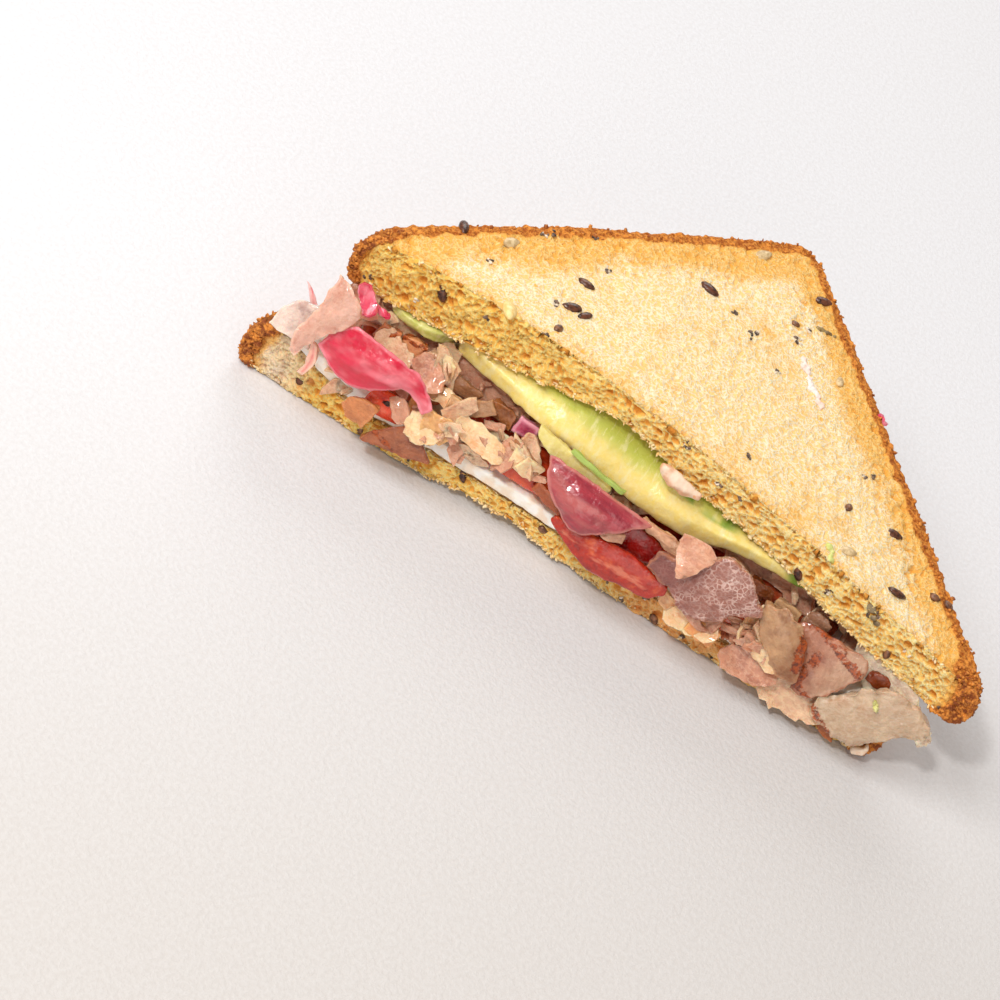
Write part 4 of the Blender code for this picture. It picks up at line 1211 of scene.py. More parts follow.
@dataclass
class BreadSlice:
    """Half a toasted slice, over the CAD slice of the same name."""

    node: str
    seed: int
    middle: Pair = (0.0, 0.0)  # of its cut edge, from that of the lower slice
    yaw: float = 0.0
    hollow: float = 0.0  # how far its cut edge bows inwards
    hollow_depth: float = 44.0
    segments: int = 72
    rows: int = 6
    cuts: int = 3
    crust_width: float = 2.7
    left_tip: float = 1.5  # how much wider it is at the left end of the cut
    right_tip: float = 1.5
    scorches: tuple[tuple[float, float, float, float], ...] = ()  # x, y, radius, strength
    stains: tuple[Pair, ...] = ()  # start and end along the cut
    pale_cuts: tuple[Pair, ...] = ()
    mesh: Mesh | None = None
    tree: BVHTree | None = None

    def unit_mesh(self) -> Mesh:
        """Half of a square block, fine where it shows and finest on the cut.

        Returns:
            Its mesh, one metre high.
        """
        bm = bmesh.new()
        bmesh.ops.create_grid(bm, x_segments=self.segments, y_segments=self.segments, size=1.0)
        bmesh.ops.rotate(bm, verts=bm.verts, matrix=Matrix.Rotation(math.radians(45.0), 3, "Z"))
        geom = bm.verts[:] + bm.edges[:] + bm.faces[:]
        halve = {"dist": AT_EDGE, "plane_co": (0.0, 0.0, 0.0), "plane_no": (0.0, 1.0, 0.0)}
        bmesh.ops.bisect_plane(bm, geom=geom, clear_inner=True, **halve)
        lower = bmesh.ops.extrude_face_region(bm, geom=bm.faces[:])["geom"]
        moved = [item for item in lower if isinstance(item, bmesh.types.BMVert)]
        bmesh.ops.translate(bm, vec=(0.0, 0.0, -1.0), verts=moved)
        upright = [e for e in bm.edges if abs(e.verts[0].co.z - e.verts[1].co.z) > 0.5]
        bmesh.ops.subdivide_edges(bm, edges=upright, cuts=self.rows - 1, use_grid_fill=True)
        fine = {e for f in bm.faces if max(v.co.z for v in f.verts) > -0.999 for e in f.edges}
        bmesh.ops.subdivide_edges(bm, edges=list(fine), cuts=self.cuts, use_grid_fill=True)
        cut = {e for f in bm.faces if max(abs(v.co.y) for v in f.verts) < AT_EDGE for e in f.edges}
        bmesh.ops.subdivide_edges(bm, edges=list(cut), cuts=1, use_grid_fill=True)
        bmesh.ops.recalc_face_normals(bm, faces=bm.faces)
        # loose crumbs are drawn by the numbers of points, so the numbers follow the places
        for number, vert in enumerate(sorted(bm.verts, key=lambda v: [round(c, 5) for c in v.co])):
            vert.index = number
        bm.verts.sort()
        return mesh_from(bm, self.node, 1.0)

    def to_part(self, x: Array, y: Array) -> tuple[Array, Array]:
        """Moves places from the slice to the part.

        Args:
            x: Places along the slice's own cut edge.
            y: Places behind it.

        Returns:
            Places along X and along Y.
        """
        fading = np.maximum(0.0, 1.0 - y / self.hollow_depth)
        y = y + self.hollow * np.maximum(0.0, 1.0 - (x / TIP) ** 2) * fading
        c, s = math.cos(self.yaw), math.sin(self.yaw)
        return c * x - s * y + self.middle[0], s * x + c * y + self.middle[1] - BACK_OF_CUT

    def lumps(self, points: Array, *layers: tuple[float, float, int]) -> Array:
        """Noise in layers, each given as its height and lump size, and its number in the slice."""
        return sum(height * noise(points, size, self.seed + number) for height, size, number in layers)

    def build(self) -> Piece:
        """The slice's mesh with its relief, pores and marks.

        Returns:
            The finished piece.
        """
        mesh = self.unit_mesh()
        unit = points_of(mesh) * MM
        surface = self.laid(unit)
        self.round_edges(surface)
        put_points(mesh, surface.points)
        normals = normals_of(mesh)
        points, behind, down, on_cut = surface.points, surface.behind, surface.down, surface.on_cut

        to_crust = (1.0 - surface.reach) * SIDE / 2.0
        ragged = self.lumps(points, (0.7, 3.5, 0), (0.5, 1.3, 1))
        at_tip = smooth(np.abs(unit[:, 0]) * SIDE * ROOT, TIP - 12.0, TIP - 2.0)
        at_tip = at_tip * (1.0 - smooth(behind, 1.0, 6.0))
        width = self.crust_width + np.where(points[:, 0] > 0, self.right_tip, self.left_tip) * at_tip
        crust = 1.0 - smooth((to_crust + ragged) / width, 0.55, 1.25)
        near_cut = 1.0 - smooth(behind, 0.5, 5.0 + self.lumps(points, (3.0, 9.0, 11)))
        deep = self.pores(points, self.openness(surface, to_crust, near_cut, crust))

        swell = self.lumps(points, (0.32, 14.0, 2), (0.2, 5.5, 3))
        crumb = self.lumps(points, (0.13, 2.2, 4), (0.12, 1.1, 5), (0.1, 0.7, 6))
        granules = self.lumps(points, (0.22, 2.4, 7), (0.3, 1.1, 8), (0.26, 0.62, 9))
        out = np.where(surface.on_top, swell, 0.3 * swell) + crumb * (1.0 - crust) + granules * crust
        out += np.where(on_cut, self.lumps(points, (0.35, 2.6, 10)), 0.0) - deep
        out = np.where(surface.on_under, np.minimum(out, 0.0) * 0.5, out)
        total = surface.thickness()
        points = points + normals * out[:, None]
        points[:, 2] = np.maximum(points[:, 2], 0.0)
        put_points(mesh, points)

        stain = self.along_cut(points, self.stains, (4.0, 5.0)) * on_cut
        pale = self.along_cut(points, self.pale_cuts, (2.0, 4.0)) * on_cut
        at_edges = smooth(down / np.maximum(total, 1.0), 0.8, 1.0) + 0.1 * (down < 0.08 * total)
        mark(
            mesh,
            crust=crust,
            cut=on_cut.astype(float),
            near_cut=near_cut * surface.on_top,
            warm=1.0 - smooth(to_crust, 3.0, 14.0),
            # the pores' depth, which also paints shade into them
            pore=np.clip(deep, 0.0, 1.0),
            scorch=self.scorch(points, crust),
            stain=stain * (0.5 + self.lumps(points, (0.35, 4.0, 12))),
            whitish=pale * (0.6 + self.lumps(points, (0.3, 3.0, 33))),
            outline=(crust > 0.75) * (0.1 + 0.9 * at_tip) * (0.4 + 0.6 * on_cut),
            tatters=on_cut * (1.0 - crust) * at_edges,
        )
        self.mesh = mesh
        self.tree = tree_of(mesh)
        return shown("toast_" + self.node.split("_")[1], mesh, ToastedBread(), [self.node])

    def laid(self, unit: Array) -> Surface:
        """The block's points on the CAD slice.

        Args:
            unit: Points of the unit block.

        Returns:
            The points, with where each lies.
        """
        along, across = unit[:, 0] + unit[:, 1], unit[:, 1] - unit[:, 0]
        reach = np.maximum(np.abs(ROOT * along), np.abs(ROOT * across))
        depth = 0.5 - 0.5 * np.cos(math.pi * -unit[:, 2])
        inset = CRUST_ROUND * (1.0 - np.sqrt(np.maximum(0.0, 1.0 - (2.0 * depth - 1.0) ** 2)))
        x, y = on_slice(unit, inset)
        part_x, part_y = self.to_part(x, y)
        read_x, read_y = on_slice(unit, READ_INSET * smooth(reach, 0.86, 1.0))
        read_x, read_y = self.to_part(read_x, np.maximum(read_y, 0.5))
        top = HeightMap(self.node, True).at(read_x, read_y)
        under = HeightMap(self.node, False).at(read_x, read_y)
        down = depth * (top - under)
        points = np.stack([part_x, part_y, top - down], axis=1)
        on_cut, on_top, on_under = np.abs(unit[:, 1]) < AT_EDGE, unit[:, 2] > -AT_EDGE, unit[:, 2] < -0.999
        return Surface(points, y, down, reach, on_cut, on_top, on_under)

    def round_edges(self, surface: Surface) -> None:
        """Wears the two edges of the cut round and uneven.

        Args:
            surface: The slice's points, which it moves.
        """
        points, on_cut, on_top, on_under = surface.points, surface.on_cut, surface.on_top, surface.on_under
        line = points * np.array([1.0, 0.0, 0.0])
        up_radius = 1.5 + self.lumps(line, (0.9, 7.0, 13), (0.4, 2.0, 14))
        low_radius = 0.8 + self.lumps(line, (0.5, 5.0, 15), (0.3, 1.6, 16))
        thick = np.where(on_cut, surface.down, 0.0)
        from_top = np.where(on_cut, thick, surface.behind)
        from_under = np.where(on_cut, surface.thickness() - thick, surface.behind)
        round_top = self.worn(from_top, up_radius) * (on_cut | on_top)
        round_low = self.worn(from_under, low_radius) * (on_cut | on_under)
        points[:, 1] += np.where(on_cut, round_top + round_low, 0.0)
        points[:, 2] -= np.where(on_top, round_top, 0.0)
        points[:, 2] += np.where(on_under, round_low, 0.0)

    @staticmethod
    def worn(away: Array, radius: Array) -> Array:
        """How far a point at this distance from an edge is worn back."""
        radius = np.maximum(radius, 0.1)
        return 0.3 * radius * np.maximum(0.0, 1.0 - away / radius) ** 2

    def openness(self, surface: Surface, to_crust: Array, near_cut: Array, crust: Array) -> Array:
        """How open the crumb is: most at the cut, less near the crust, least in the middle of the top.

        Args:
            surface: The slice's points.
            to_crust: How far from the crust each lies.
            near_cut: 1 by the cut, 0 away from it.
            crust: 1 on the crust, 0 off it.

        Returns:
            One value for each point, 1 where it is most open.
        """
        patch = 0.5 + self.lumps(surface.points, (0.5, 9.0, 17))
        band = (1.0 - smooth(to_crust, 4.0, 15.0)) * (0.35 + 0.65 * patch)
        top = np.clip(0.12 + 0.2 * patch + 0.6 * band + 0.35 * near_cut, 0.0, 0.85)
        return np.where(surface.on_cut, 1.0, np.where(surface.on_top, top, 0.3)) * (1.0 - 0.8 * crust)

    def pores(self, points: Array, opened: Array) -> Array:
        """Pores with thin walls between them.

        Args:
            points: The slice's points.
            opened: How open the crumb is at each.

        Returns:
            How deep each point is sunk.
        """
        warped = points * np.array([0.85, 1.0, 1.1]) + 0.5 * noise_vector(points, 2.4, self.seed + 20)
        wide, wide_value = cells(warped, 1.9, self.seed + 24)
        small, small_value = cells(warped, 1.05, self.seed + 28)
        wide_open = smooth(wide, 0.12, 0.4) * (wide_value > 0.1)
        small_open = smooth(small, 0.1, 0.42) * (small_value > -0.75)
        amount = np.maximum(wide_open * (0.6 + 0.4 * wide_value), (0.5 + 0.2 * small_value) * small_open)
        return PORE_DEPTH * opened * amount

    def scorch(self, points: Array, crust: Array) -> Array:
        """How dark the crust is toasted.

        Args:
            points: The slice's points.
            crust: 1 on the crust, 0 off it.

        Returns:
            One value for each point, 1 where it is darkest.
        """
        ragged = self.lumps(points, (0.3, 3.0, 32))
        scorch = np.zeros(len(points))
        for spot_x, spot_y, radius, strength in self.scorches:
            far = np.hypot(points[:, 0] - spot_x, points[:, 1] - spot_y) / radius
            scorch = np.maximum(scorch, strength * (1.0 - smooth(far + ragged, 0.4, 1.2)))
        return scorch * np.clip(crust + 0.1, 0.0, 1.0)

    @staticmethod
    def along_cut(points: Array, spans: Sequence[Pair], soft: Pair) -> Array:
        """Which points lie in spans along the cut.

        Args:
            points: The slice's points.
            spans: Start and end of each span.
            soft: How far it fades to both sides of a start and of an end.

        Returns:
            1 for each point in a span, 0 for one outside them.
        """
        x, inside = points[:, 0], np.zeros(len(points))
        for start, end in spans:
            rise = smooth(x, start - soft[0], start + soft[0])
            fall = smooth(x, end - soft[1], end + soft[1])
            inside = np.maximum(inside, rise * (1.0 - fall))
        return inside


# ---------------- seeds


DOWN, BACK = Vector((0.0, 0.0, -1.0)), Vector((0.0, 1.0, 0.0))
ABOVE, IN_FRONT = 80.0, -70.0  # where rays start, clear of the bread


def ray_at(x: float, v: float, on_cut: bool) -> tuple[Vector, Vector]:
    """Start and way of a ray to a place on the cut, x along it and v up, or on the top at x and v."""
    return (Vector((x, IN_FRONT, v)), BACK) if on_cut else (Vector((x, v, ABOVE)), DOWN)


@dataclass
class SeedKind:
    """One kind of seed or broken seed, baked into the slices where its places say."""

    name: str
    finish: Finish
    size: Spot  # length, width, thickness
    on_top: tuple[Pair, ...] = ()
    on_cut: tuple[Pair, ...] = ()  # along the cut and up
    on_lower: tuple[Pair, ...] = ()  # the same on the lower slice
    sunk: float = 0.45  # share of its thickness under the surface
    point: float = 0.35  # how far one end narrows
    faces: int = 2
    bits: int = 1  # how many lie at each place
    spread: float = 0.0
    rough: float = 0.0

    def build(self, upper: BreadSlice, lower: BreadSlice, rng: Rng) -> Piece:
        """All seeds of the kind, as one mesh.

        Args:
            upper, lower: The two slices, built.
            rng: Source of their turns.

        Returns:
            The piece.
        """
        bm = bmesh.new()
        places = [(upper, spot, False) for spot in self.on_top]
        places += [(upper, spot, True) for spot in self.on_cut]
        places += [(lower, spot, True) for spot in self.on_lower]
        for bread, spot, on_cut in places:
            start, way = ray_at(*spot, on_cut)
            for _ in range(self.bits):
                aside = Vector(rng.normal(0.0, self.spread, 3))
                hit = bread.tree.ray_cast(start + aside - way * way.dot(aside), way)[0]
                if hit is not None:
                    self.lay(bm, hit, -way, rng)
        return shown(self.name, mesh_from(bm, self.name), self.finish)

    def lay(self, bm: BMesh, spot: Vector, out: Vector, rng: Rng) -> None:
        """Adds one seed, partly sunk in the crumb.

        Args:
            bm: The mesh of all seeds of the kind.
            spot: Where it lies.
            out: Which way is out of the crumb.
            rng: Source of its turn and size.
        """
        made = bmesh.ops.create_icosphere(bm, subdivisions=self.faces, radius=0.5)["verts"]
        scale = rng.uniform(0.8, 1.15)
        lean = (out + Vector(rng.normal(0.0, 0.16, 3))).normalized()
        turn = turned_to(lean, rng.uniform(0, 2 * math.pi))
        for vert in made:
            x, y, z = vert.co * (1.0 + self.rough * rng.normal())
            narrow = 1.0 - self.point * max(0.0, 2.0 * x)
            local = Vector((x * self.size[0], y * self.size[1] * narrow, z * self.size[2])) * scale
            vert.co = spot + turn @ local + lean * (0.5 - self.sunk) * self.size[2] * scale


@dataclass
class Crumbs:
    """Loose crumbs left along the edges of both slices, which make their outlines ragged."""

    BATCH = 50  # crumbs made at a time, as one mesh with all of them is slow to add to

    name: str
    finish: Finish
    mark_name: str  # where they lie: more, the higher this mark of the bread
    count: int
    small: float
    large: float
    shape: Spot = (1.0, 1.0, 1.0)

    def build(self, slices: Sequence[BreadSlice], rng: Rng) -> Piece:
        """All crumbs of the kind, as one mesh.

        Args:
            slices: The slices, built.
            rng: Source of their places and shapes.

        Returns:
            The piece.
        """
        bm = bmesh.new()
        for bread in slices:
            points, normals = points_of(bread.mesh), normals_of(bread.mesh)
            weight = np.empty(len(points), np.float32)
            bread.mesh.attributes[self.mark_name].data.foreach_get("value", weight)
            weight = np.clip(weight, 0.0, 1.0) * (points[:, 2] > 0.6)
            chosen = rng.choice(len(points), self.count, p=weight / weight.sum())
            for start in range(0, self.count, self.BATCH):
                few = bmesh.new()
                for index in chosen[start : start + self.BATCH]:
                    self.crumb(few, Vector(points[index]), Vector(normals[index]), rng)
                batch = mesh_from(few, "batch", 1.0)
                bm.from_mesh(batch)
                bpy.data.meshes.remove(batch)
        return shown(self.name, mesh_from(bm, self.name), self.finish)

    def crumb(self, bm: BMesh, spot: Vector, normal: Vector, rng: Rng) -> None:
        """Adds one lumpy crumb that sits on the surface.

        Args:
            bm: The mesh of all crumbs.
            spot: Where it sits.
            normal: Which way is out.
            rng: Source of its shape.
        """
        made = bmesh.ops.create_icosphere(bm, subdivisions=1, radius=0.5)["verts"]
        size = Vector(rng.uniform(self.small, self.large, 3) * self.shape)
        turn = Matrix.Rotation(rng.uniform(0, 2 * math.pi), 3, Vector(rng.normal(0.0, 1.0, 3)).normalized())
        for vert in made:
            lump = vert.co * (1.0 + 0.24 * rng.normal()) * size
            vert.co = spot + turn @ lump + normal * 0.15 * size.x
            vert.co.z = max(vert.co.z, 0.02)


@dataclass
class Smear:
    """A lumpy smear of sauce or mashed avocado that has come through the crumb."""

    VOXEL = 0.16  # of its mesh

    name: str
    slot: str
    finish: Finish
    line: tuple[Pair, ...]
    width: float
    height: float = 0.5
    on_cut: bool = False  # the line runs along the cut and up, not over the top

    def build(self, bread: BreadSlice, rng: Rng) -> Piece:
        """The smear, as overlapping lumps made into one.

        Args:
            bread: The slice it lies on, built.
            rng: Source of the lumps.

        Returns:
            The piece.
        """
        bm = bmesh.new()
        for (x0, v0), (x1, v1) in zip(self.line[:-1], self.line[1:], strict=True):
            steps = max(2, int(math.hypot(x1 - x0, v1 - v0) / (0.3 * self.width)))
            for k in range(steps + 1):
                x = x0 + (x1 - x0) * k / steps + rng.normal(0.0, 0.18 * self.width)
                v = v0 + (v1 - v0) * k / steps + rng.normal(0.0, 0.18 * self.width)
                self.lump(bm, bread, x, v, rng)
        mesh = mesh_from(bm, self.name)
        mesh = with_modifier(mesh, "REMESH", mode="VOXEL", voxel_size=self.VOXEL * MM)
        points = points_of(mesh)
        put_points(mesh, points + 0.1 * noise_vector(points, 0.7, 57))
        mark(mesh, behind=np.full(len(points), 0.4), skin=np.full(len(points), 0.4))
        return shown(self.name, mesh, self.finish)

    def lump(self, bm: BMesh, bread: BreadSlice, x: float, v: float, rng: Rng) -> None:
        """One flat lump on the bread.

        Args:
            bm: The smear's mesh.
            bread: The slice under it.
            x: Place along the cut.
            v: Place behind the cut, or up it.
            rng: Source of its size.
        """
        start, way = ray_at(x, v, self.on_cut)
        hit = bread.tree.ray_cast(start, way)[0]
        if hit is None:
            return
        made = bmesh.ops.create_icosphere(bm, subdivisions=2, radius=0.5)["verts"]
        width = self.width * rng.uniform(0.5, 1.1)
        turn = turned_to(-way)
        for vert in made:
            height = self.height * rng.uniform(1.2, 2.0)
            vert.co = hit + turn @ Vector((vert.co.x * width, vert.co.y * width, vert.co.z * height))


# ---------------- flakes and slices of the filling


@dataclass
class Filling:
    """A piece of the filling over the CAD node of the same name: smoother, torn at its rim, uneven."""

    SHARP = 0.9  # angle in radians from which an edge is part of the rim
    STEP = 0.5  # between the points kept along the rim

    node: str
    slot: str
    finish: Finish
    levels: int = 3
    crease: float = 0.55
    lumps: float = 0.14
    lump_size: float = 3.0
    torn: float = 0.35
    fine: float = 0.05
    rim_width: float = 1.1
    sears: tuple[Band, ...] = ()  # x, z to x, z, and width

    def build(self, seed: int) -> Piece:
        """The refined piece.

        Args:
            seed: Picks the unevenness.

        Returns:
            The piece.
        """
        bm = merged(self.node)
        crease = bm.edges.layers.float.new("crease_edge")
        rim_points = []
        for edge in bm.edges:
            if len(edge.link_faces) == 2 and edge.calc_face_angle() > self.SHARP:
                edge[crease] = self.crease
                first, last = edge.verts[0].co, edge.verts[1].co
                steps = max(2, int((last - first).length / self.STEP))
                rim_points += [first.lerp(last, k / steps) for k in range(steps + 1)]
        mesh = mesh_from(bm, self.node)
        mesh = with_modifier(mesh, "SUBSURF", levels=self.levels, render_levels=self.levels)
        points = points_of(mesh)
        rim = self.closeness(points, rim_points)
        normals = normals_of(mesh)
        out = self.lumps * noise(points, self.lump_size, seed) + self.fine * noise(points, 0.8, seed + 1)
        out += 0.5 * self.lumps * noise(points, 0.45 * self.lump_size, seed + 2)
        tear = noise_vector(points, 1.9, seed + 3) + 0.5 * noise_vector(points, 0.9, seed + 6)
        points = points + normals * out[:, None] + tear * (self.torn * rim)[:, None]
        put_points(mesh, points)
        mark(mesh, rim=rim, grain=self.own_axes(points) * MM, sear=self.sear(points))
        self.extra_marks(mesh, points)
        return shown(self.node + "_piece", mesh, self.finish, [self.node])

    def sear(self, points: Array) -> Array:
        """Where the piece is browned.

        Args:
            points: The piece's points.

        Returns:
            1 for each point on a browned band, 0 for one away from them.
        """
        sear = np.zeros(len(points))
        for x0, z0, x1, z1, width in self.sears:
            way = np.array([x1 - x0, z1 - z0])
            from_start = points[:, [0, 2]] - np.array([x0, z0])
            along = np.clip(from_start @ way / (way @ way), 0.0, 1.0)
            away = np.linalg.norm(from_start - along[:, None] * way, axis=1)
            sear = np.maximum(sear, 1.0 - smooth(away + 0.5 * noise(points, 1.8, 61), 0.3 * width, width))
        return sear

    def extra_marks(self, mesh: Mesh, points: Array) -> None:
        """Marks that only some finishes read."""

    def closeness(self, points: Array, rim_points: list[Vector]) -> Array:
        """1 at the rim, 0 away from it.

        Args:
            points: The piece's points.
            rim_points: Points along its rim.

        Returns:
            One value for each point.
        """
        if not rim_points:
            return np.zeros(len(points))
        tree = KDTree(len(rim_points))
        for index, point in enumerate(rim_points):
            tree.insert(point, index)
        tree.balance()
        far = np.array([tree.find(point)[2] for point in points])
        return 1.0 - smooth(far, 0.2 * self.rim_width, self.rim_width)

    @staticmethod
    def own_axes(points: Array) -> Array:
        """The points along the piece's own length, width and thickness.

        Args:
            points: The piece's points.

        Returns:
            The points in these axes.
        """
        middle = points - points.mean(0)
        axes = np.linalg.svd(middle[:: max(1, len(middle) // 2000)], full_matrices=False)[2]
        return middle @ axes.T


@dataclass
class AvocadoSlice(Filling):
    """A slice of avocado, marked by the distance behind its front edge."""

    skin_from: float = 200.0  # along the cut, from where it is green

    def extra_marks(self, mesh: Mesh, points: Array) -> None:
        """Distance behind the front edge, and the green end.

        Args:
            mesh, points: The mesh to mark and its points.
        """
        columns = np.round(points[:, 0]).astype(int)
        front = {column: points[columns == column, 1].min() for column in np.unique(columns)}
        behind = points[:, 1] - np.array([front[column] for column in columns])
        waving = points[:, 0] + 1.5 * noise(points, 3.0, 91)
        skin = smooth(waving, self.skin_from - 2.0, self.skin_from + 1.0)
        patch_front = np.interp(points[:, 0], (10.0, 27.0), (2.4, 0.7))
        dark_patch = smooth(behind - patch_front, 0.0, 1.0) * smooth(points[:, 0], 10.0, 13.0)
        dark_patch *= 1.0 - smooth(points[:, 0], 22.0, 27.0)
        dark_patch *= smooth(noise(points, 2.2, 92), -0.7, 0.1) * (self.skin_from < 100.0)
        skin = np.maximum(skin, dark_patch)
        mark(mesh, behind=behind, skin=skin)


# ---------------- shredded ham


@dataclass(frozen=True)
class Zone:
    """A stretch of the cut face and the loose flakes that lie over it."""

    start: float
    end: float
    count: int
    kinds: tuple[str, ...]  # one of them is picked each time
    length: Pair = (3.0, 7.0)
    width: Pair = (1.4, 3.2)
    lean: float = 0.45


@dataclass(frozen=True)
class Leaf:
    """One larger torn leaf at a set place."""

    kind: str
    middle: Spot
    size: Pair
    out: Spot
    turn: float  # of its length, in degrees
    bend: float = 0.8
    taper: float = 0.0  # how much narrower its far end is
    torn: float = 0.2  # how ragged its outline is


@dataclass
class ShreddedHam:
    """The heap of shredded ham: an uneven core, with loose flakes over what shows of it."""

    finishes: dict[str, tuple[str, Finish]]  # material slot and finish of each kind
    zones: tuple[Zone, ...]
    leaves: tuple[Leaf, ...]
    covered: frozenset[str]  # nodes that flakes may lie on
    node: str = "ham_heap"
    voxel: float = 0.9
    shrink: float = 1.0
    thickness: float = 0.55  # of a flake
    aimed_from: float = -60.0  # where the rays that place flakes on the cut face start
    aimed_high: Pair = (22.0, 52.0)
    side_count: int = 840
    side_high: Pair = (12.0, 22.0)
    side_end: float = -50.0  # no flakes lie beyond this on the left

    def core(self) -> Piece:
        """The core, a little smaller than the CAD heap.

        Returns:
            The piece.
        """
        mesh = mesh_from(merged(self.node), "core")
        mesh = with_modifier(mesh, "REMESH", mode="VOXEL", voxel_size=self.voxel * MM)
        points = points_of(mesh)
        normals = normals_of(mesh)
        out = -self.shrink + 0.9 * noise(points, 4.5, 71) + 0.6 * noise(points, 2.0, 72)
        points = points + normals * out[:, None]
        put_points(mesh, points)
        mark(mesh, rim=np.zeros(len(points)), grain=points * MM)
        return shown("shredded_ham_core", mesh, self.finishes["pink"][1], [self.node])

    def flakes(self) -> list[Piece]:
        """Loose flakes over the core at the cut and all round under the crust.

        Returns:
            One piece for each kind of ham.
        """
        rng = np.random.default_rng(5)
        kinds = {kind: bmesh.new() for kind in self.finishes}
        trees = {name: tree_of(node.data) for name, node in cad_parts.items()}
        way = Vector((0.0, 0.93, -0.36)).normalized()  # from the front, a little down
        for zone in self.zones:
            for _ in range(zone.count):
                x, z = rng.uniform(zone.start, zone.end), rng.uniform(*self.aimed_high)
                spot = Vector((x, self.aimed_from, z))
                name, hit, normal = self.first(trees, spot, way)
                if name in self.covered:
                    out = (normal - way * 0.7).normalized()
                    kind = zone.kinds[int(rng.integers(len(zone.kinds)))]
                    size = (rng.uniform(*zone.length), rng.uniform(*zone.width))
                    self.flake(kinds[kind], hit + out * rng.uniform(-0.2, 0.6), out, size, zone.lean, rng)
        middle = Vector((0.0, 10.0, 0.0))
        shreds = ("pale", "pink", "smoked")
        for _ in range(self.side_count):
            angle = rng.uniform(-0.35, math.pi + 0.35)
            out = Vector((math.cos(angle), math.sin(angle), 0.0))
            across = Vector((-out.y, out.x, 0.0)) * rng.uniform(-30.0, 30.0)
            spot = middle + out * 90.0 + across + Vector((0.0, 0.0, rng.uniform(*self.side_high)))
            name, hit, _ = self.first(trees, spot, -out)
            if name == self.node and hit.x > self.side_end:
                kind = shreds[int(rng.integers(3))]
                size = (rng.uniform(3.0, 7.5), rng.uniform(1.2, 3.2))
                self.flake(kinds[kind], hit + out * rng.uniform(0.0, 1.5), out, size, 0.45, rng)
        for leaf in self.leaves:
            self.leaf(kinds[leaf.kind], leaf, rng)
        return [self.finished(kind, bm) for kind, bm in kinds.items()]

    @staticmethod
    def first(trees: dict[str, BVHTree], spot: Vector, way: Vector) -> tuple[str, Vector, Vector]:
        """What a ray meets first.

        Args:
            trees: Every CAD node's surface.
            spot: Where the ray starts.
            way: Its direction.

        Returns:
            The node's name, or an empty one, with the place and the surface's normal there.
        """
        name, place, normal, near = "", spot, -way, math.inf
        for key, tree in trees.items():
            hit, facing, _, far = tree.ray_cast(spot, way)
            if hit is not None and far < near:
                name, place, normal, near = key, hit, facing, far
        return name, place, normal

    @staticmethod
    def flake(bm: BMesh, spot: Vector, out: Vector, size: Pair, lean: float, rng: Rng) -> None:
        """One small bent flake, lying roughly flat against what is behind it.

        Args:
            bm: The mesh of its kind.
            spot: Its middle.
            out: Which way is out of the heap.
            size: Its length and width.
            lean: How far it leans from lying flat.
            rng: Source of its shape.
        """
        made = bmesh.ops.create_grid(bm, x_segments=4, y_segments=2, size=1.0)["verts"]
        bend, curl, skew = rng.normal(0.0, 0.8 * lean + 0.2), rng.normal(0.0, 0.4), rng.normal(0.0, 0.3)
        lean_out = (out + Vector(rng.normal(0.0, lean, 3))).normalized()
        turn = turned_to(lean_out, rng.normal(-0.2, 0.7))
        for vert in made:
            x, y = vert.co.x, vert.co.y
            side = 1.0 - 0.15 * x * x + rng.normal(0.0, 0.14)
            along = 0.5 * size[0] * (x + skew * y) + rng.normal(0.0, 0.25)
            height = bend * (x * x - 0.4) + curl * y * y + 0.4 * curl * x * y
            vert.co = spot + turn @ Vector((along, 0.5 * size[1] * y * side, height))

    @staticmethod
    def leaf(bm: BMesh, leaf: Leaf, rng: Rng) -> None:
        """One larger leaf with a torn outline.

        Args:
            bm: The mesh of its kind.
            leaf: What and where it is.
            rng: Source of its outline.
        """
        made = bmesh.ops.create_grid(bm, x_segments=10, y_segments=6, size=1.0)["verts"]
        turn = turned_to(Vector(leaf.out), math.radians(leaf.turn))
        for vert in made:
            x, y = vert.co.x, vert.co.y
            round_x, round_y = x * math.sqrt(1.0 - 0.4 * y * y), y * math.sqrt(1.0 - 0.4 * x * x)
            round_y *= 1.0 - 0.5 * leaf.taper * (x + 1.0)
            local = Vector((0.5 * leaf.size[0] * round_x, 0.5 * leaf.size[1] * round_y, 0.0))
            at_rim = max(abs(x), abs(y)) ** 3 * min(1.0, 0.2 * leaf.size[1])
            local += Vector(rng.normal(0.0, leaf.torn, 3)) * at_rim
            local.z += leaf.bend * (x * x - 0.4) + 0.3 * math.sin(4.0 * x + 2.0 * y)
            vert.co = Vector(leaf.middle) + turn @ local

    def finished(self, kind: str, bm: BMesh) -> Piece:
        """Gives all flakes of one kind their thickness, with sharp edges where their faces meet steeply.

        Args:
            kind: Which ham.
            bm: Their sheets.

        Returns:
            The piece.
        """
        slot, finish = self.finishes[kind]
        bmesh.ops.recalc_face_normals(bm, faces=bm.faces)
        mesh = with_modifier(mesh_from(bm, kind), "SOLIDIFY", thickness=self.thickness * MM, offset=0.0)
        mesh.set_sharp_from_angle(angle=math.radians(50.0))
        points = points_of(mesh)
        points[:, 2] = np.maximum(points[:, 2], 0.1)
        put_points(mesh, points)
        mark(mesh, rim=np.clip(0.5 + noise(points, 2.0, 81), 0.0, 1.0) * 0.6, grain=points * MM)
        name = "ham_shreds_" + kind if slot.startswith("ham") else kind + "_shreds"
        return shown(name, mesh, finish)


# ---------------- studio


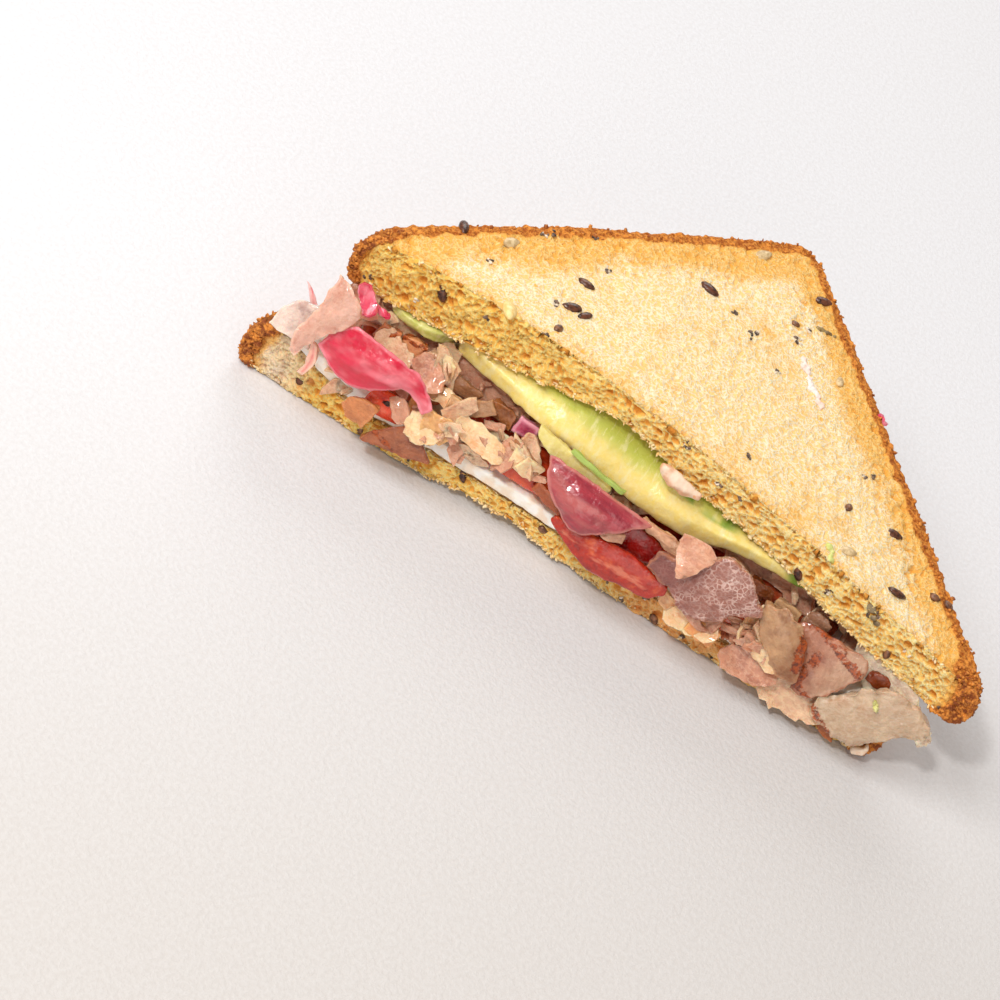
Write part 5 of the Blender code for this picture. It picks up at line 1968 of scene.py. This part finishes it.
@dataclass
class Studio:
    """Pale floor with painted shade towards the front, soft light from the left, and the camera. Its sizes
    are in metres.
    """

    lens: float = 110.0  # in millimetres, as the next
    sensor: float = 36.0
    azimuth: float = math.radians(-4.67)
    elevation: float = math.radians(43.0)
    roll: float = math.radians(35.82)
    distance: float = 0.5428
    target: Spot = (-0.0162, -0.045385, 0.025)
    floor_size: float = 4.0  # half its width
    floor_height: float = -0.0001
    sky: Colour = (1.0, 0.955, 0.915)
    sky_strength: float = 0.41

    def build(self) -> None:
        """Floor, world, lights and camera."""
        self.floor()
        self.light()
        self.camera()

    def floor(self) -> None:
        """A wide floor just under the bread."""
        bm = bmesh.new()
        bmesh.ops.create_grid(bm, x_segments=2, y_segments=2, size=self.floor_size)
        bmesh.ops.translate(bm, vec=(0.0, 0.0, self.floor_height), verts=bm.verts)
        mesh = mesh_from(bm, "floor", 1.0)
        mesh.materials.append(StudioFloor().material("floor_finish"))
        floor = bpy.data.objects.new("floor", mesh)
        bpy.context.scene.collection.objects.link(floor)

    def light(self) -> None:
        """A broad key from the left, light from behind, a small glint, a weak fill, and a pale world."""
        scene = bpy.context.scene
        world = bpy.data.worlds.new("studio")
        scene.world = world
        world.use_nodes = True
        background = world.node_tree.nodes["Background"]
        background.inputs["Color"].default_value = (*self.sky, 1.0)
        background.inputs["Strength"].default_value = self.sky_strength
        scene.view_settings.view_transform = "Standard"
        self.lamp("key", (-0.5, -0.2, 0.72), 0.45, 3.9, (1.0, 0.99, 0.98))
        self.lamp("back", (-0.2, 0.75, 0.6), 0.6, 3.6, (1.0, 0.985, 0.965))
        self.lamp("glint", (-0.3, -0.5, 0.72), 0.08, 2.9, (1.0, 0.99, 0.97))
        self.lamp("front_fill", (0.2, -0.9, 0.3), 0.6, 1.85, (1.0, 0.94, 0.88))

    @staticmethod
    def lamp(name: str, place: Spot, size: float, power: float, colour: Colour) -> None:
        """One soft box that points at the sandwich.

        Args:
            name: The lamp's name.
            place: Where it hangs, in metres.
            size: Its side, in metres.
            power: Its power in watts.
            colour: Its colour.
        """
        data = bpy.data.lights.new(name, "AREA")
        data.shape = "SQUARE"
        data.size = size
        data.energy = power
        data.color = colour
        lamp = bpy.data.objects.new(name, data)
        lamp.location = place
        lamp.rotation_mode = "QUATERNION"
        lamp.rotation_quaternion = (Vector((0.0, -0.01, 0.02)) - Vector(place)).to_track_quat("-Z", "Y")
        bpy.context.scene.collection.objects.link(lamp)

    def camera(self) -> None:
        """The camera, with its roll."""
        data = bpy.data.cameras.new("camera")
        data.lens, data.sensor_width = self.lens, self.sensor
        data.clip_start, data.clip_end = 0.01, 20.0
        camera = bpy.data.objects.new("camera", data)
        tilt = math.radians(90.0) - self.elevation
        turn = Matrix.Rotation(self.azimuth, 3, "Z") @ Matrix.Rotation(tilt, 3, "X")
        turn = turn @ Matrix.Rotation(self.roll, 3, "Z")
        place = Vector(self.target) + turn.col[2] * self.distance
        camera.matrix_world = Matrix.Translation(place) @ turn.to_4x4()
        bpy.context.scene.collection.objects.link(camera)
        bpy.context.scene.camera = camera


# ---------------- the sandwich


PALE, PINK, SMOKED = "ham_pale", "ham_pink", "ham_smoked"

HAM: tuple[tuple[str, str, Meat], ...] = (
    ("ham_left_pale", PALE, Meat(tint(222, 198, 185), 0.1, rim=tint(234, 216, 203), see_through=0.6)),
    ("ham_block_left", PALE, Meat(tint(207, 141, 96), 0.2)),
    ("ham_block_grey", PINK, Meat(tint(191, 149, 119), 0.3)),
    ("ham_block_mid", SMOKED, Meat(tint(149, 101, 67), 0.3)),
    ("ham_back_strip", SMOKED, Meat(tint(150, 90, 48), 0.2)),
    ("ham_slab_tilted", PALE, Meat(tint(173, 127, 90), 0.2)),
    ("ham_shred_left", PINK, Meat(tint(194, 139, 93), 0.2)),
    ("ham_cream_block", PALE, Meat(tint(208, 160, 112), 0.2)),
    ("ham_cream_flake", PALE, Meat(tint(240, 216, 176), 0.1)),
    ("ham_beige_mid", PINK, Meat(tint(240, 170, 105), 0.2)),
    ("ham_strip_long", PALE, Meat(tint(218, 178, 138), 0.1)),
    ("ham_cream_low", PALE, Meat(tint(222, 166, 108), 0.2)),
    ("ham_sliver_low", PALE, Meat(tint(229, 175, 120), 0.1)),
    ("ham_strip_brown", SMOKED, Meat(tint(158, 103, 67), 0.3)),
    ("ham_strip_orange", PINK, Meat(tint(160, 81, 44), 0.2)),
    ("ham_low_left", PINK, Meat(tint(196, 123, 75), 0.3, rim=tint(226, 152, 90))),
    ("ham_hanging", SMOKED, Meat(tint(159, 91, 58), 0.35, rim=tint(142, 71, 36))),
    ("ham_folded_left", PINK, Meat(tint(218, 170, 150), 0.15, dark=tint(206, 146, 124), see_through=0.6)),
    ("ham_tip_pale", PALE, Meat(tint(190, 140, 112), 0.2)),
    ("ham_under_avocado", PALE, Meat(tint(118, 57, 18), 0.1)),
    ("ham_upper_right", PALE, Meat(tint(194, 150, 107), 0.2)),
    ("ham_grey_right", PINK, Meat(tint(155, 110, 83), 0.2)),
    ("ham_beige_low", PALE, Meat(tint(232, 175, 127), 0.2)),
    ("ham_orange_low", PINK, Meat(tint(233, 156, 95), 0.2)),
    ("ham_pink_right", PINK, Meat(tint(200, 150, 124), 0.3, see_through=0.6)),
    (
        "ham_marbled", SMOKED,
        # the marbled ham's white net is partly fat, partly painted glints of its wet surface
        Meat(tint(135, 78, 70), 0.62, fat=tint(220, 186, 174), rim=tint(187, 123, 85),
             other=tint(164, 108, 92), turns=(18.0, 27.0), wet=0.04, dry=0.18, netted=True),
    ),
    ("ham_fold_beige", PALE, Meat(tint(218, 167, 132), 0.2, rim=tint(176, 116, 80))),
    (
        "ham_petal_right", PALE,
        Meat(tint(189, 146, 107), 0.1, rim=tint(195, 149, 111), other=tint(125, 62, 20),
             turns=(42.0, 50.0), see_through=0.6),
    ),
    ("ham_behind_right", SMOKED, Meat(tint(129, 53, 15), 0.1)),
    (
        "ham_smoked_fold", SMOKED,
        Meat(tint(175, 116, 89), 0.35, rim=tint(162, 89, 54), fat=tint(212, 168, 139),
             other=tint(199, 158, 129), turns=(50.0, 56.0)),
    ),
    ("meat_browned", SMOKED, Meat(tint(179, 104, 62), 0.3, dark=tint(110, 50, 20))),
    ("turkey_crust", SMOKED, Meat(tint(162, 86, 33), 0.2)),
    (
        "turkey_slice", "turkey",
        Meat(tint(198, 169, 140), 0.35, dark=tint(186, 147, 115), rim=tint(202, 173, 142),
             fat=tint(218, 197, 174), see_through=0.6, wet=0.08, dry=0.28),
    ),
)

TOMATOES: tuple[tuple[str, TomatoFlesh], ...] = (
    # tomato_dark: the tomato's inside behind the onion, its darker reds painted shade
    ("tomato_dark", TomatoFlesh(tint(148, 9, 3), tint(102, 3, 1), tint(169, 16, 6), pale_share=0.05)),
    ("tomato_hanging", TomatoFlesh(tint(179, 37, 14), tint(128, 8, 3), tint(212, 87, 38), pale_share=0.5)),
    ("tomato_left", TomatoFlesh(tint(232, 71, 24), tint(200, 36, 9), tint(249, 102, 44))),
    ("tomato_right", TomatoFlesh(tint(206, 80, 40), tint(160, 36, 16), tint(226, 110, 60))),
    ("tomato_slice_back", TomatoFlesh()),
    ("tomato_slice_end", TomatoFlesh(tint(176, 76, 38), tint(130, 34, 14))),
    ("tomato_slice_left", TomatoFlesh(tint(226, 108, 58), tint(200, 60, 26), tint(236, 130, 76))),
    ("tomato_slice_mid", TomatoFlesh(tint(208, 64, 27), tint(165, 27, 8), tint(224, 89, 44))),
    ("tomato_slice_right", TomatoFlesh(tint(170, 40, 24), tint(110, 14, 8))),
)

ONIONS: tuple[tuple[str, PickledOnion], ...] = (
    ("onion_petal_left", PickledOnion(tint(216, 34, 68), tint(196, 14, 44), tint(240, 142, 152), 0.7)),
    ("onion_petal_mid", PickledOnion(tint(173, 52, 65), tint(136, 27, 47), tint(211, 136, 123), 0.35)),
    ("onion_square", PickledOnion(tint(196, 84, 112), tint(164, 48, 84), tint(226, 160, 172))),
    ("onion_shred_back", PickledOnion(tint(226, 150, 118), tint(204, 104, 92), tint(244, 196, 160))),
    ("onion_strand_low", PickledOnion(tint(239, 160, 143), tint(221, 106, 110), tint(251, 209, 182))),
    ("onion_strand_outer", PickledOnion(tint(234, 160, 158), tint(224, 116, 126), tint(248, 206, 200))),
)

# the last number is where along the cut each turns green
AVOCADOS: tuple[tuple[str, AvocadoFlesh, float], ...] = (
    ("avocado_long", AvocadoFlesh(), 38.0),
    ("avocado_left", AvocadoFlesh(yellow=tint(190, 194, 92), green=tint(172, 184, 72)), 200.0),
    ("avocado_middle", AvocadoFlesh(), 200.0),
    ("avocado_back", AvocadoFlesh(), 200.0),
    ("avocado_under_upper", AvocadoFlesh(yellow=tint(206, 190, 100), skin=tint(166, 186, 92)), -20.0),
    ("avocado_under_lower", AvocadoFlesh(yellow=tint(222, 204, 116)), 200.0),
)

SEEDS = (
    SeedKind(
        "flax_seeds", SeedCoat(tint(104, 58, 36), tint(50, 24, 14), 0.25), (3.9, 2.0, 1.2),
        on_top=((-22.8, 2.4), (-23.0, -5.4), (-20.1, -5.5), (-1.8, 21.5), (19.5, 40.0), (-47.6, -1.5),
                (51.3, -2.4), (56.2, -14.9)),
        on_cut=((38.5, 26.6), (-44.5, 33.1)), on_lower=((-57.5, 3.6), (-23.0, 5.6)),
    ),
    SeedKind(
        "sunflower_kernels", SeedCoat(tint(222, 196, 150), tint(180, 150, 104), 0.45), (3.9, 2.2, 1.5),
        on_top=((29.2, 23.2), (4.6, 40.2), (44.0, -14.8), (-38.6, 0.9)), on_lower=((45.3, 1.8),),
        faces=3, sunk=0.55,
    ),
    SeedKind(
        "pale_kernels", SeedCoat(tint(246, 216, 150), tint(232, 194, 116), 0.3), (6.2, 3.4, 1.9),
        on_top=((-32.6, -16.0),), faces=3, sunk=0.2,
    ),
    SeedKind(
        "brown_grains", SeedCoat(tint(140, 92, 60), tint(82, 48, 30), 0.35), (2.3, 1.6, 1.1),
        on_top=((16.3, 28.3), (-23.2, -12.7), (40.9, -4.7), (63.4, -9.4), (66.6, -8.6)),
        on_cut=((60.8, 22.9),), on_lower=((-43.5, 1.4), (-4.6, 5.1), (22.3, 1.4), (53.3, 2.5)),
        point=0.2, rough=0.05,
    ),
    SeedKind(
        "dark_bits", SeedCoat(tint(126, 100, 80), tint(44, 28, 20), 0.45), (0.9, 0.6, 0.5),
        on_top=((4.9, 20.3), (9.2, 17.5), (10.2, 19.5), (18.2, 24.9), (16.9, 14.0), (19.1, 29.5),
                (-34.1, 7.8), (-32.5, 9.3), (-25.7, 14.8), (-20.6, 8.9), (41.6, 5.3), (43.1, 6.8),
                (-26.0, -7.2), (18.9, -10.3), (-24.5, -15.9), (-40.2, -6.2)),
        on_cut=((74.4, 20.2), (-57.0, 26.9), (-35.5, 34.5), (8.2, 35.9), (16.8, 32.7), (21.7, 32.9),
                (45.1, 27.2), (54.3, 29.6), (53.2, 28.2)),
        on_lower=((10.7, 3.2), (14.8, 1.2), (18.6, 4.5), (28.3, 1.2), (34.8, 1.5), (-32.9, 1.8)),
        point=0.0, faces=2, bits=4, spread=0.34, rough=0.03,
    ),
    SeedKind(
        "pale_bits", SeedCoat(tint(236, 222, 200), tint(196, 176, 150), 0.5), (0.9, 0.5, 0.5),
        on_top=((10.2, 19.5), (18.2, 24.9), (16.9, 14.0), (19.1, 29.5), (-34.1, 7.8), (-26.0, -7.2),
                (41.6, 5.3), (-40.2, -7.0), (-20.6, 8.9)),
        on_cut=((8.2, 35.5), (16.8, 32.4), (45.1, 27.0), (54.3, 29.0), (63.3, 26.2), (-48.0, 28.8)),
        on_lower=((18.6, 4.2), (28.3, 1.4), (14.8, 1.6)),
        point=0.0, faces=2, bits=3, spread=0.4, rough=0.03,
    ),
)

CRUMBS = (
    Crumbs("crust_crumbs", ToastedCrust(), "outline", 1500, 0.35, 1.1),
    Crumbs("crumb_tufts", ToastedCrumb(), "tatters", 420, 0.5, 1.4, (1.0, 0.45, 0.35)),
)

MASHED = AvocadoFlesh(yellow=tint(206, 206, 110), green=tint(176, 196, 80), skin=tint(196, 206, 110))

SMEARS = (
    Smear(
        "sauce_on_top", "sauce", Cream(tint(250, 232, 222), tint(244, 206, 190)),
        ((20.6, 21.7), (24.0, 17.0), (28.1, 13.3)), 1.5,
    ),
    Smear("avocado_on_top", "avocado", MASHED, ((40.4, -17.0), (41.6, -19.4)), 1.7),
    Smear(
        "olive_on_top", "toasted_bread",
        Cream(tint(150, 124, 74), tint(110, 86, 46), tint(230, 140, 40), 0.3),
        ((21.0, 32.0), (24.2, 33.4)), 1.5, 0.35,
    ),
    Smear(
        "olive_in_cut", "toasted_bread",
        Cream(tint(150, 130, 96), tint(104, 88, 64), tint(60, 44, 34), 0.3),
        ((52.6, 30.0), (55.4, 27.6)), 1.9, 0.35, on_cut=True,
    ),
)

SHREDS: dict[str, tuple[str, Finish]] = {
    "pale": (PALE, Meat(tint(230, 182, 146), 0.3, see_through=0.6)),
    "pink": (PALE, Meat(tint(210, 150, 120), 0.4, fat=tint(232, 190, 160))),
    "smoked": (SMOKED, Meat(tint(160, 96, 64), 0.4, fat=tint(206, 148, 108))),
    "cream": (PALE, Meat(tint(252, 204, 156), 0.3, dark=tint(240, 166, 112), fat=tint(255, 232, 200))),
    "herb": ("avocado", MASHED),
    "pepper": (SMOKED, SeedCoat(tint(70, 46, 34), tint(22, 16, 14), 0.3)),
    "onion": ("onion", PickledOnion(tint(224, 62, 96), tint(204, 36, 72), tint(246, 176, 184))),
    "turkey": ("turkey", Meat(tint(216, 194, 168), 0.3, rim=tint(226, 206, 180), see_through=0.6)),
}

# the ham that no loose flakes lie on, and the other nodes that they do lie on
BARE = {
    "ham_left_pale", "ham_strip_orange", "ham_low_left", "ham_hanging", "ham_folded_left", "ham_tip_pale",
    "ham_marbled", "ham_fold_beige", "ham_petal_right", "ham_smoked_fold", "turkey_crust", "turkey_slice",
}
UNDER_FLAKES = {
    "ham_heap", "tomato_slice_left", "tomato_slice_end", "tomato_left", "tomato_right", "cheese_slab",
}
BLOCKS = frozenset(node for node, _, _ in HAM) - BARE | UNDER_FLAKES

ZONES = (
    Zone(-55.0, -36.0, 34, ("pink", "pale", "pale"), (4.0, 7.5), (2.2, 4.2), 0.22),
    Zone(-38.0, -13.0, 46, ("cream", "pale", "cream", "pink"), (3.5, 7.0), (2.0, 4.0), 0.25),
    Zone(-52.0, -14.0, 24, ("pink", "cream", "pale"), (2.0, 4.0), (0.9, 1.8), 0.5),
    Zone(14.0, 60.0, 70, ("pink", "pale", "cream"), (3.5, 7.0), (1.6, 3.4), 0.35),
    Zone(10.0, 64.0, 34, ("pale", "smoked", "pink"), (2.0, 4.5), (0.8, 1.8), 0.5),
    Zone(-10.0, 52.0, 90, ("smoked", "pale", "pink"), (3.0, 6.0), (1.2, 2.6), 0.35),
    Zone(-56.0, 64.0, 90, ("pink", "pale", "pale"), (2.0, 5.0), (0.9, 2.0), 0.5),
    Zone(-50.0, -22.0, 16, ("pepper",), (0.6, 1.3), (0.4, 0.8), 0.2),
    Zone(-20.0, 60.0, 14, ("pepper",), (0.5, 0.9), (0.4, 0.6), 0.2),
)

SEARS: dict[str, tuple[Band, ...]] = {
    "ham_smoked_fold": (
        (44.0, 21.0, 50.4, 20.6, 1.3), (50.4, 20.6, 59.0, 17.5, 1.3),
        (50.3, 16.6, 49.8, 10.4, 1.8), (49.8, 10.4, 53.5, 9.0, 1.2),
    ),
    "turkey_slice": ((54.5, 9.0, 60.0, 5.5, 1.3),),
    "meat_browned": ((-50.5, 20.0, -46.5, 20.5, 2.4),),
    "ham_block_left": ((-46.0, 22.5, -41.5, 22.5, 1.0),),
    "ham_hanging": ((-43.0, 9.0, -37.0, 7.5, 0.9),),
    "ham_petal_right": ((46.0, 21.5, 48.5, 14.0, 1.8),),
}

# how torn these slices are at the rim, and all others
TORN = {
    "turkey_slice": 0.75, "ham_petal_right": 0.6, "ham_smoked_fold": 0.5, "ham_marbled": 0.55,
    "ham_folded_left": 0.5,
}
TORN_ELSEWHERE = 0.35

LEAVES = (
    Leaf("onion", (-55.2, -20.6, 26.0), (6.5, 3.0), (-0.3, -0.7, 0.6), -30.0, 0.9),
    Leaf("onion", (-52.4, -20.0, 25.0), (5.0, 1.2), (-0.3, -0.7, 0.6), 10.0, 0.6),
    Leaf("onion", (40.3, 22.3, 34.0), (2.6, 1.3), (0.5, 0.5, 0.7), 8.0, 0.1, torn=0.1),
    Leaf("pink", (19.9, -29.2, 23.0), (8.2, 9.6), (-0.15, -0.6, 0.78), -84.0, -0.5, 0.72, 0.1),
    Leaf("herb", (64.4, -27.8, 15.8), (2.2, 0.8), (-0.1, -0.8, 0.55), -50.0, 0.1),
    Leaf("turkey", (75.0, -25.6, 14.2), (5.0, 3.4), (0.1, -0.9, 0.45), -50.0, 0.2),
    Leaf("turkey", (64.0, -22.6, 18.0), (17.0, 9.0), (-0.1, -0.9, 0.45), -28.0, 0.5, torn=0.4),
    Leaf("pale", (52.0, -27.6, 5.4), (15.0, 6.0), (0.0, -0.85, 0.5), 4.0, 0.5, torn=0.35),
    Leaf("pink", (41.0, -28.4, 7.6), (12.0, 6.0), (0.0, -0.8, 0.6), 8.0, 0.6),
    Leaf("cream", (27.5, -29.2, 9.6), (11.0, 4.6), (-0.1, -0.8, 0.6), 12.0, 0.6),
    Leaf("cream", (-34.0, -29.2, 14.6), (7.0, 6.0), (-0.1, -0.8, 0.6), 20.0, 0.5),
    Leaf("cream", (-24.0, -25.6, 16.6), (12.0, 4.6), (0.1, -0.75, 0.65), -14.0, 0.4),
    Leaf("pale", (-14.6, -23.4, 18.4), (8.0, 3.4), (0.0, -0.8, 0.6), -50.0, 0.4),
    Leaf("pink", (-38.6, -22.4, 20.6), (8.0, 5.0), (-0.2, -0.7, 0.7), -24.0, 0.5),
    Leaf("pale", (-46.4, -21.6, 19.6), (9.0, 6.0), (-0.1, -0.8, 0.6), -20.0, 0.4),
)


def main() -> None:
    """Builds every piece in order."""
    logging.basicConfig(level=logging.INFO, format="%(name)s: %(message)s")
    upper = BreadSlice(
        "bread_upper", 11, middle=(8.9, 4.75), yaw=math.radians(-3.15), hollow=1.9, right_tip=4.6,
        scorches=((-62.0, -15.0, 9.0, 0.45), (79.0, -22.0, 7.0, 0.35), (30.0, 34.0, 16.0, 0.2)),
    )
    lower = BreadSlice(
        "bread_lower", 31, left_tip=3.0, scorches=((-70.0, -25.0, 8.0, 0.6),), stains=((14.0, 45.0),),
        pale_cuts=((-70.0, -58.0),),
    )
    upper.build()
    lower.build()
    rng = np.random.default_rng(3)
    for kind in SEEDS:
        kind.build(upper, lower, rng)
    for smear in SMEARS:
        smear.build(upper, rng)
    for crumbs in CRUMBS:
        crumbs.build((upper, lower), rng)
    for count, (node, slot, finish) in enumerate(HAM):
        torn = TORN.get(node, TORN_ELSEWHERE)
        Filling(node, slot, finish, torn=torn, sears=SEARS.get(node, ())).build(100 + 10 * count)
    for count, (node, tomato) in enumerate(TOMATOES):
        Filling(node, "tomato", tomato, torn=0.15, crease=0.3).build(500 + 10 * count)
    for count, (node, onion) in enumerate(ONIONS):
        Filling(node, "onion", onion, torn=0.2, lumps=0.22, lump_size=2.4).build(600 + 10 * count)
    for count, (node, avocado, skin) in enumerate(AVOCADOS):
        avocado_slice = AvocadoSlice(node, "avocado", avocado, torn=0.25, crease=0.4, skin_from=skin)
        avocado_slice.build(700 + 10 * count)
    cheese = Cream(tint(255, 250, 240), tint(246, 226, 204), tint(240, 190, 160), 0.04)
    Filling("cheese_slab", "cheese", cheese, lumps=0.3, torn=0.2, crease=0.6).build(800)
    for count, node in enumerate(("sauce_dollop", "sauce_drip")):
        sauce = Cream(tint(240, 214, 190), tint(226, 176, 140))
        Filling(node, "sauce", sauce, lumps=0.45, lump_size=2.2, torn=0.2, crease=0.0).build(820 + count)
    ham = ShreddedHam(SHREDS, ZONES, LEAVES, BLOCKS)
    ham.core()
    ham.flakes()
    Studio().build()


if __name__ == "__main__":
    main()
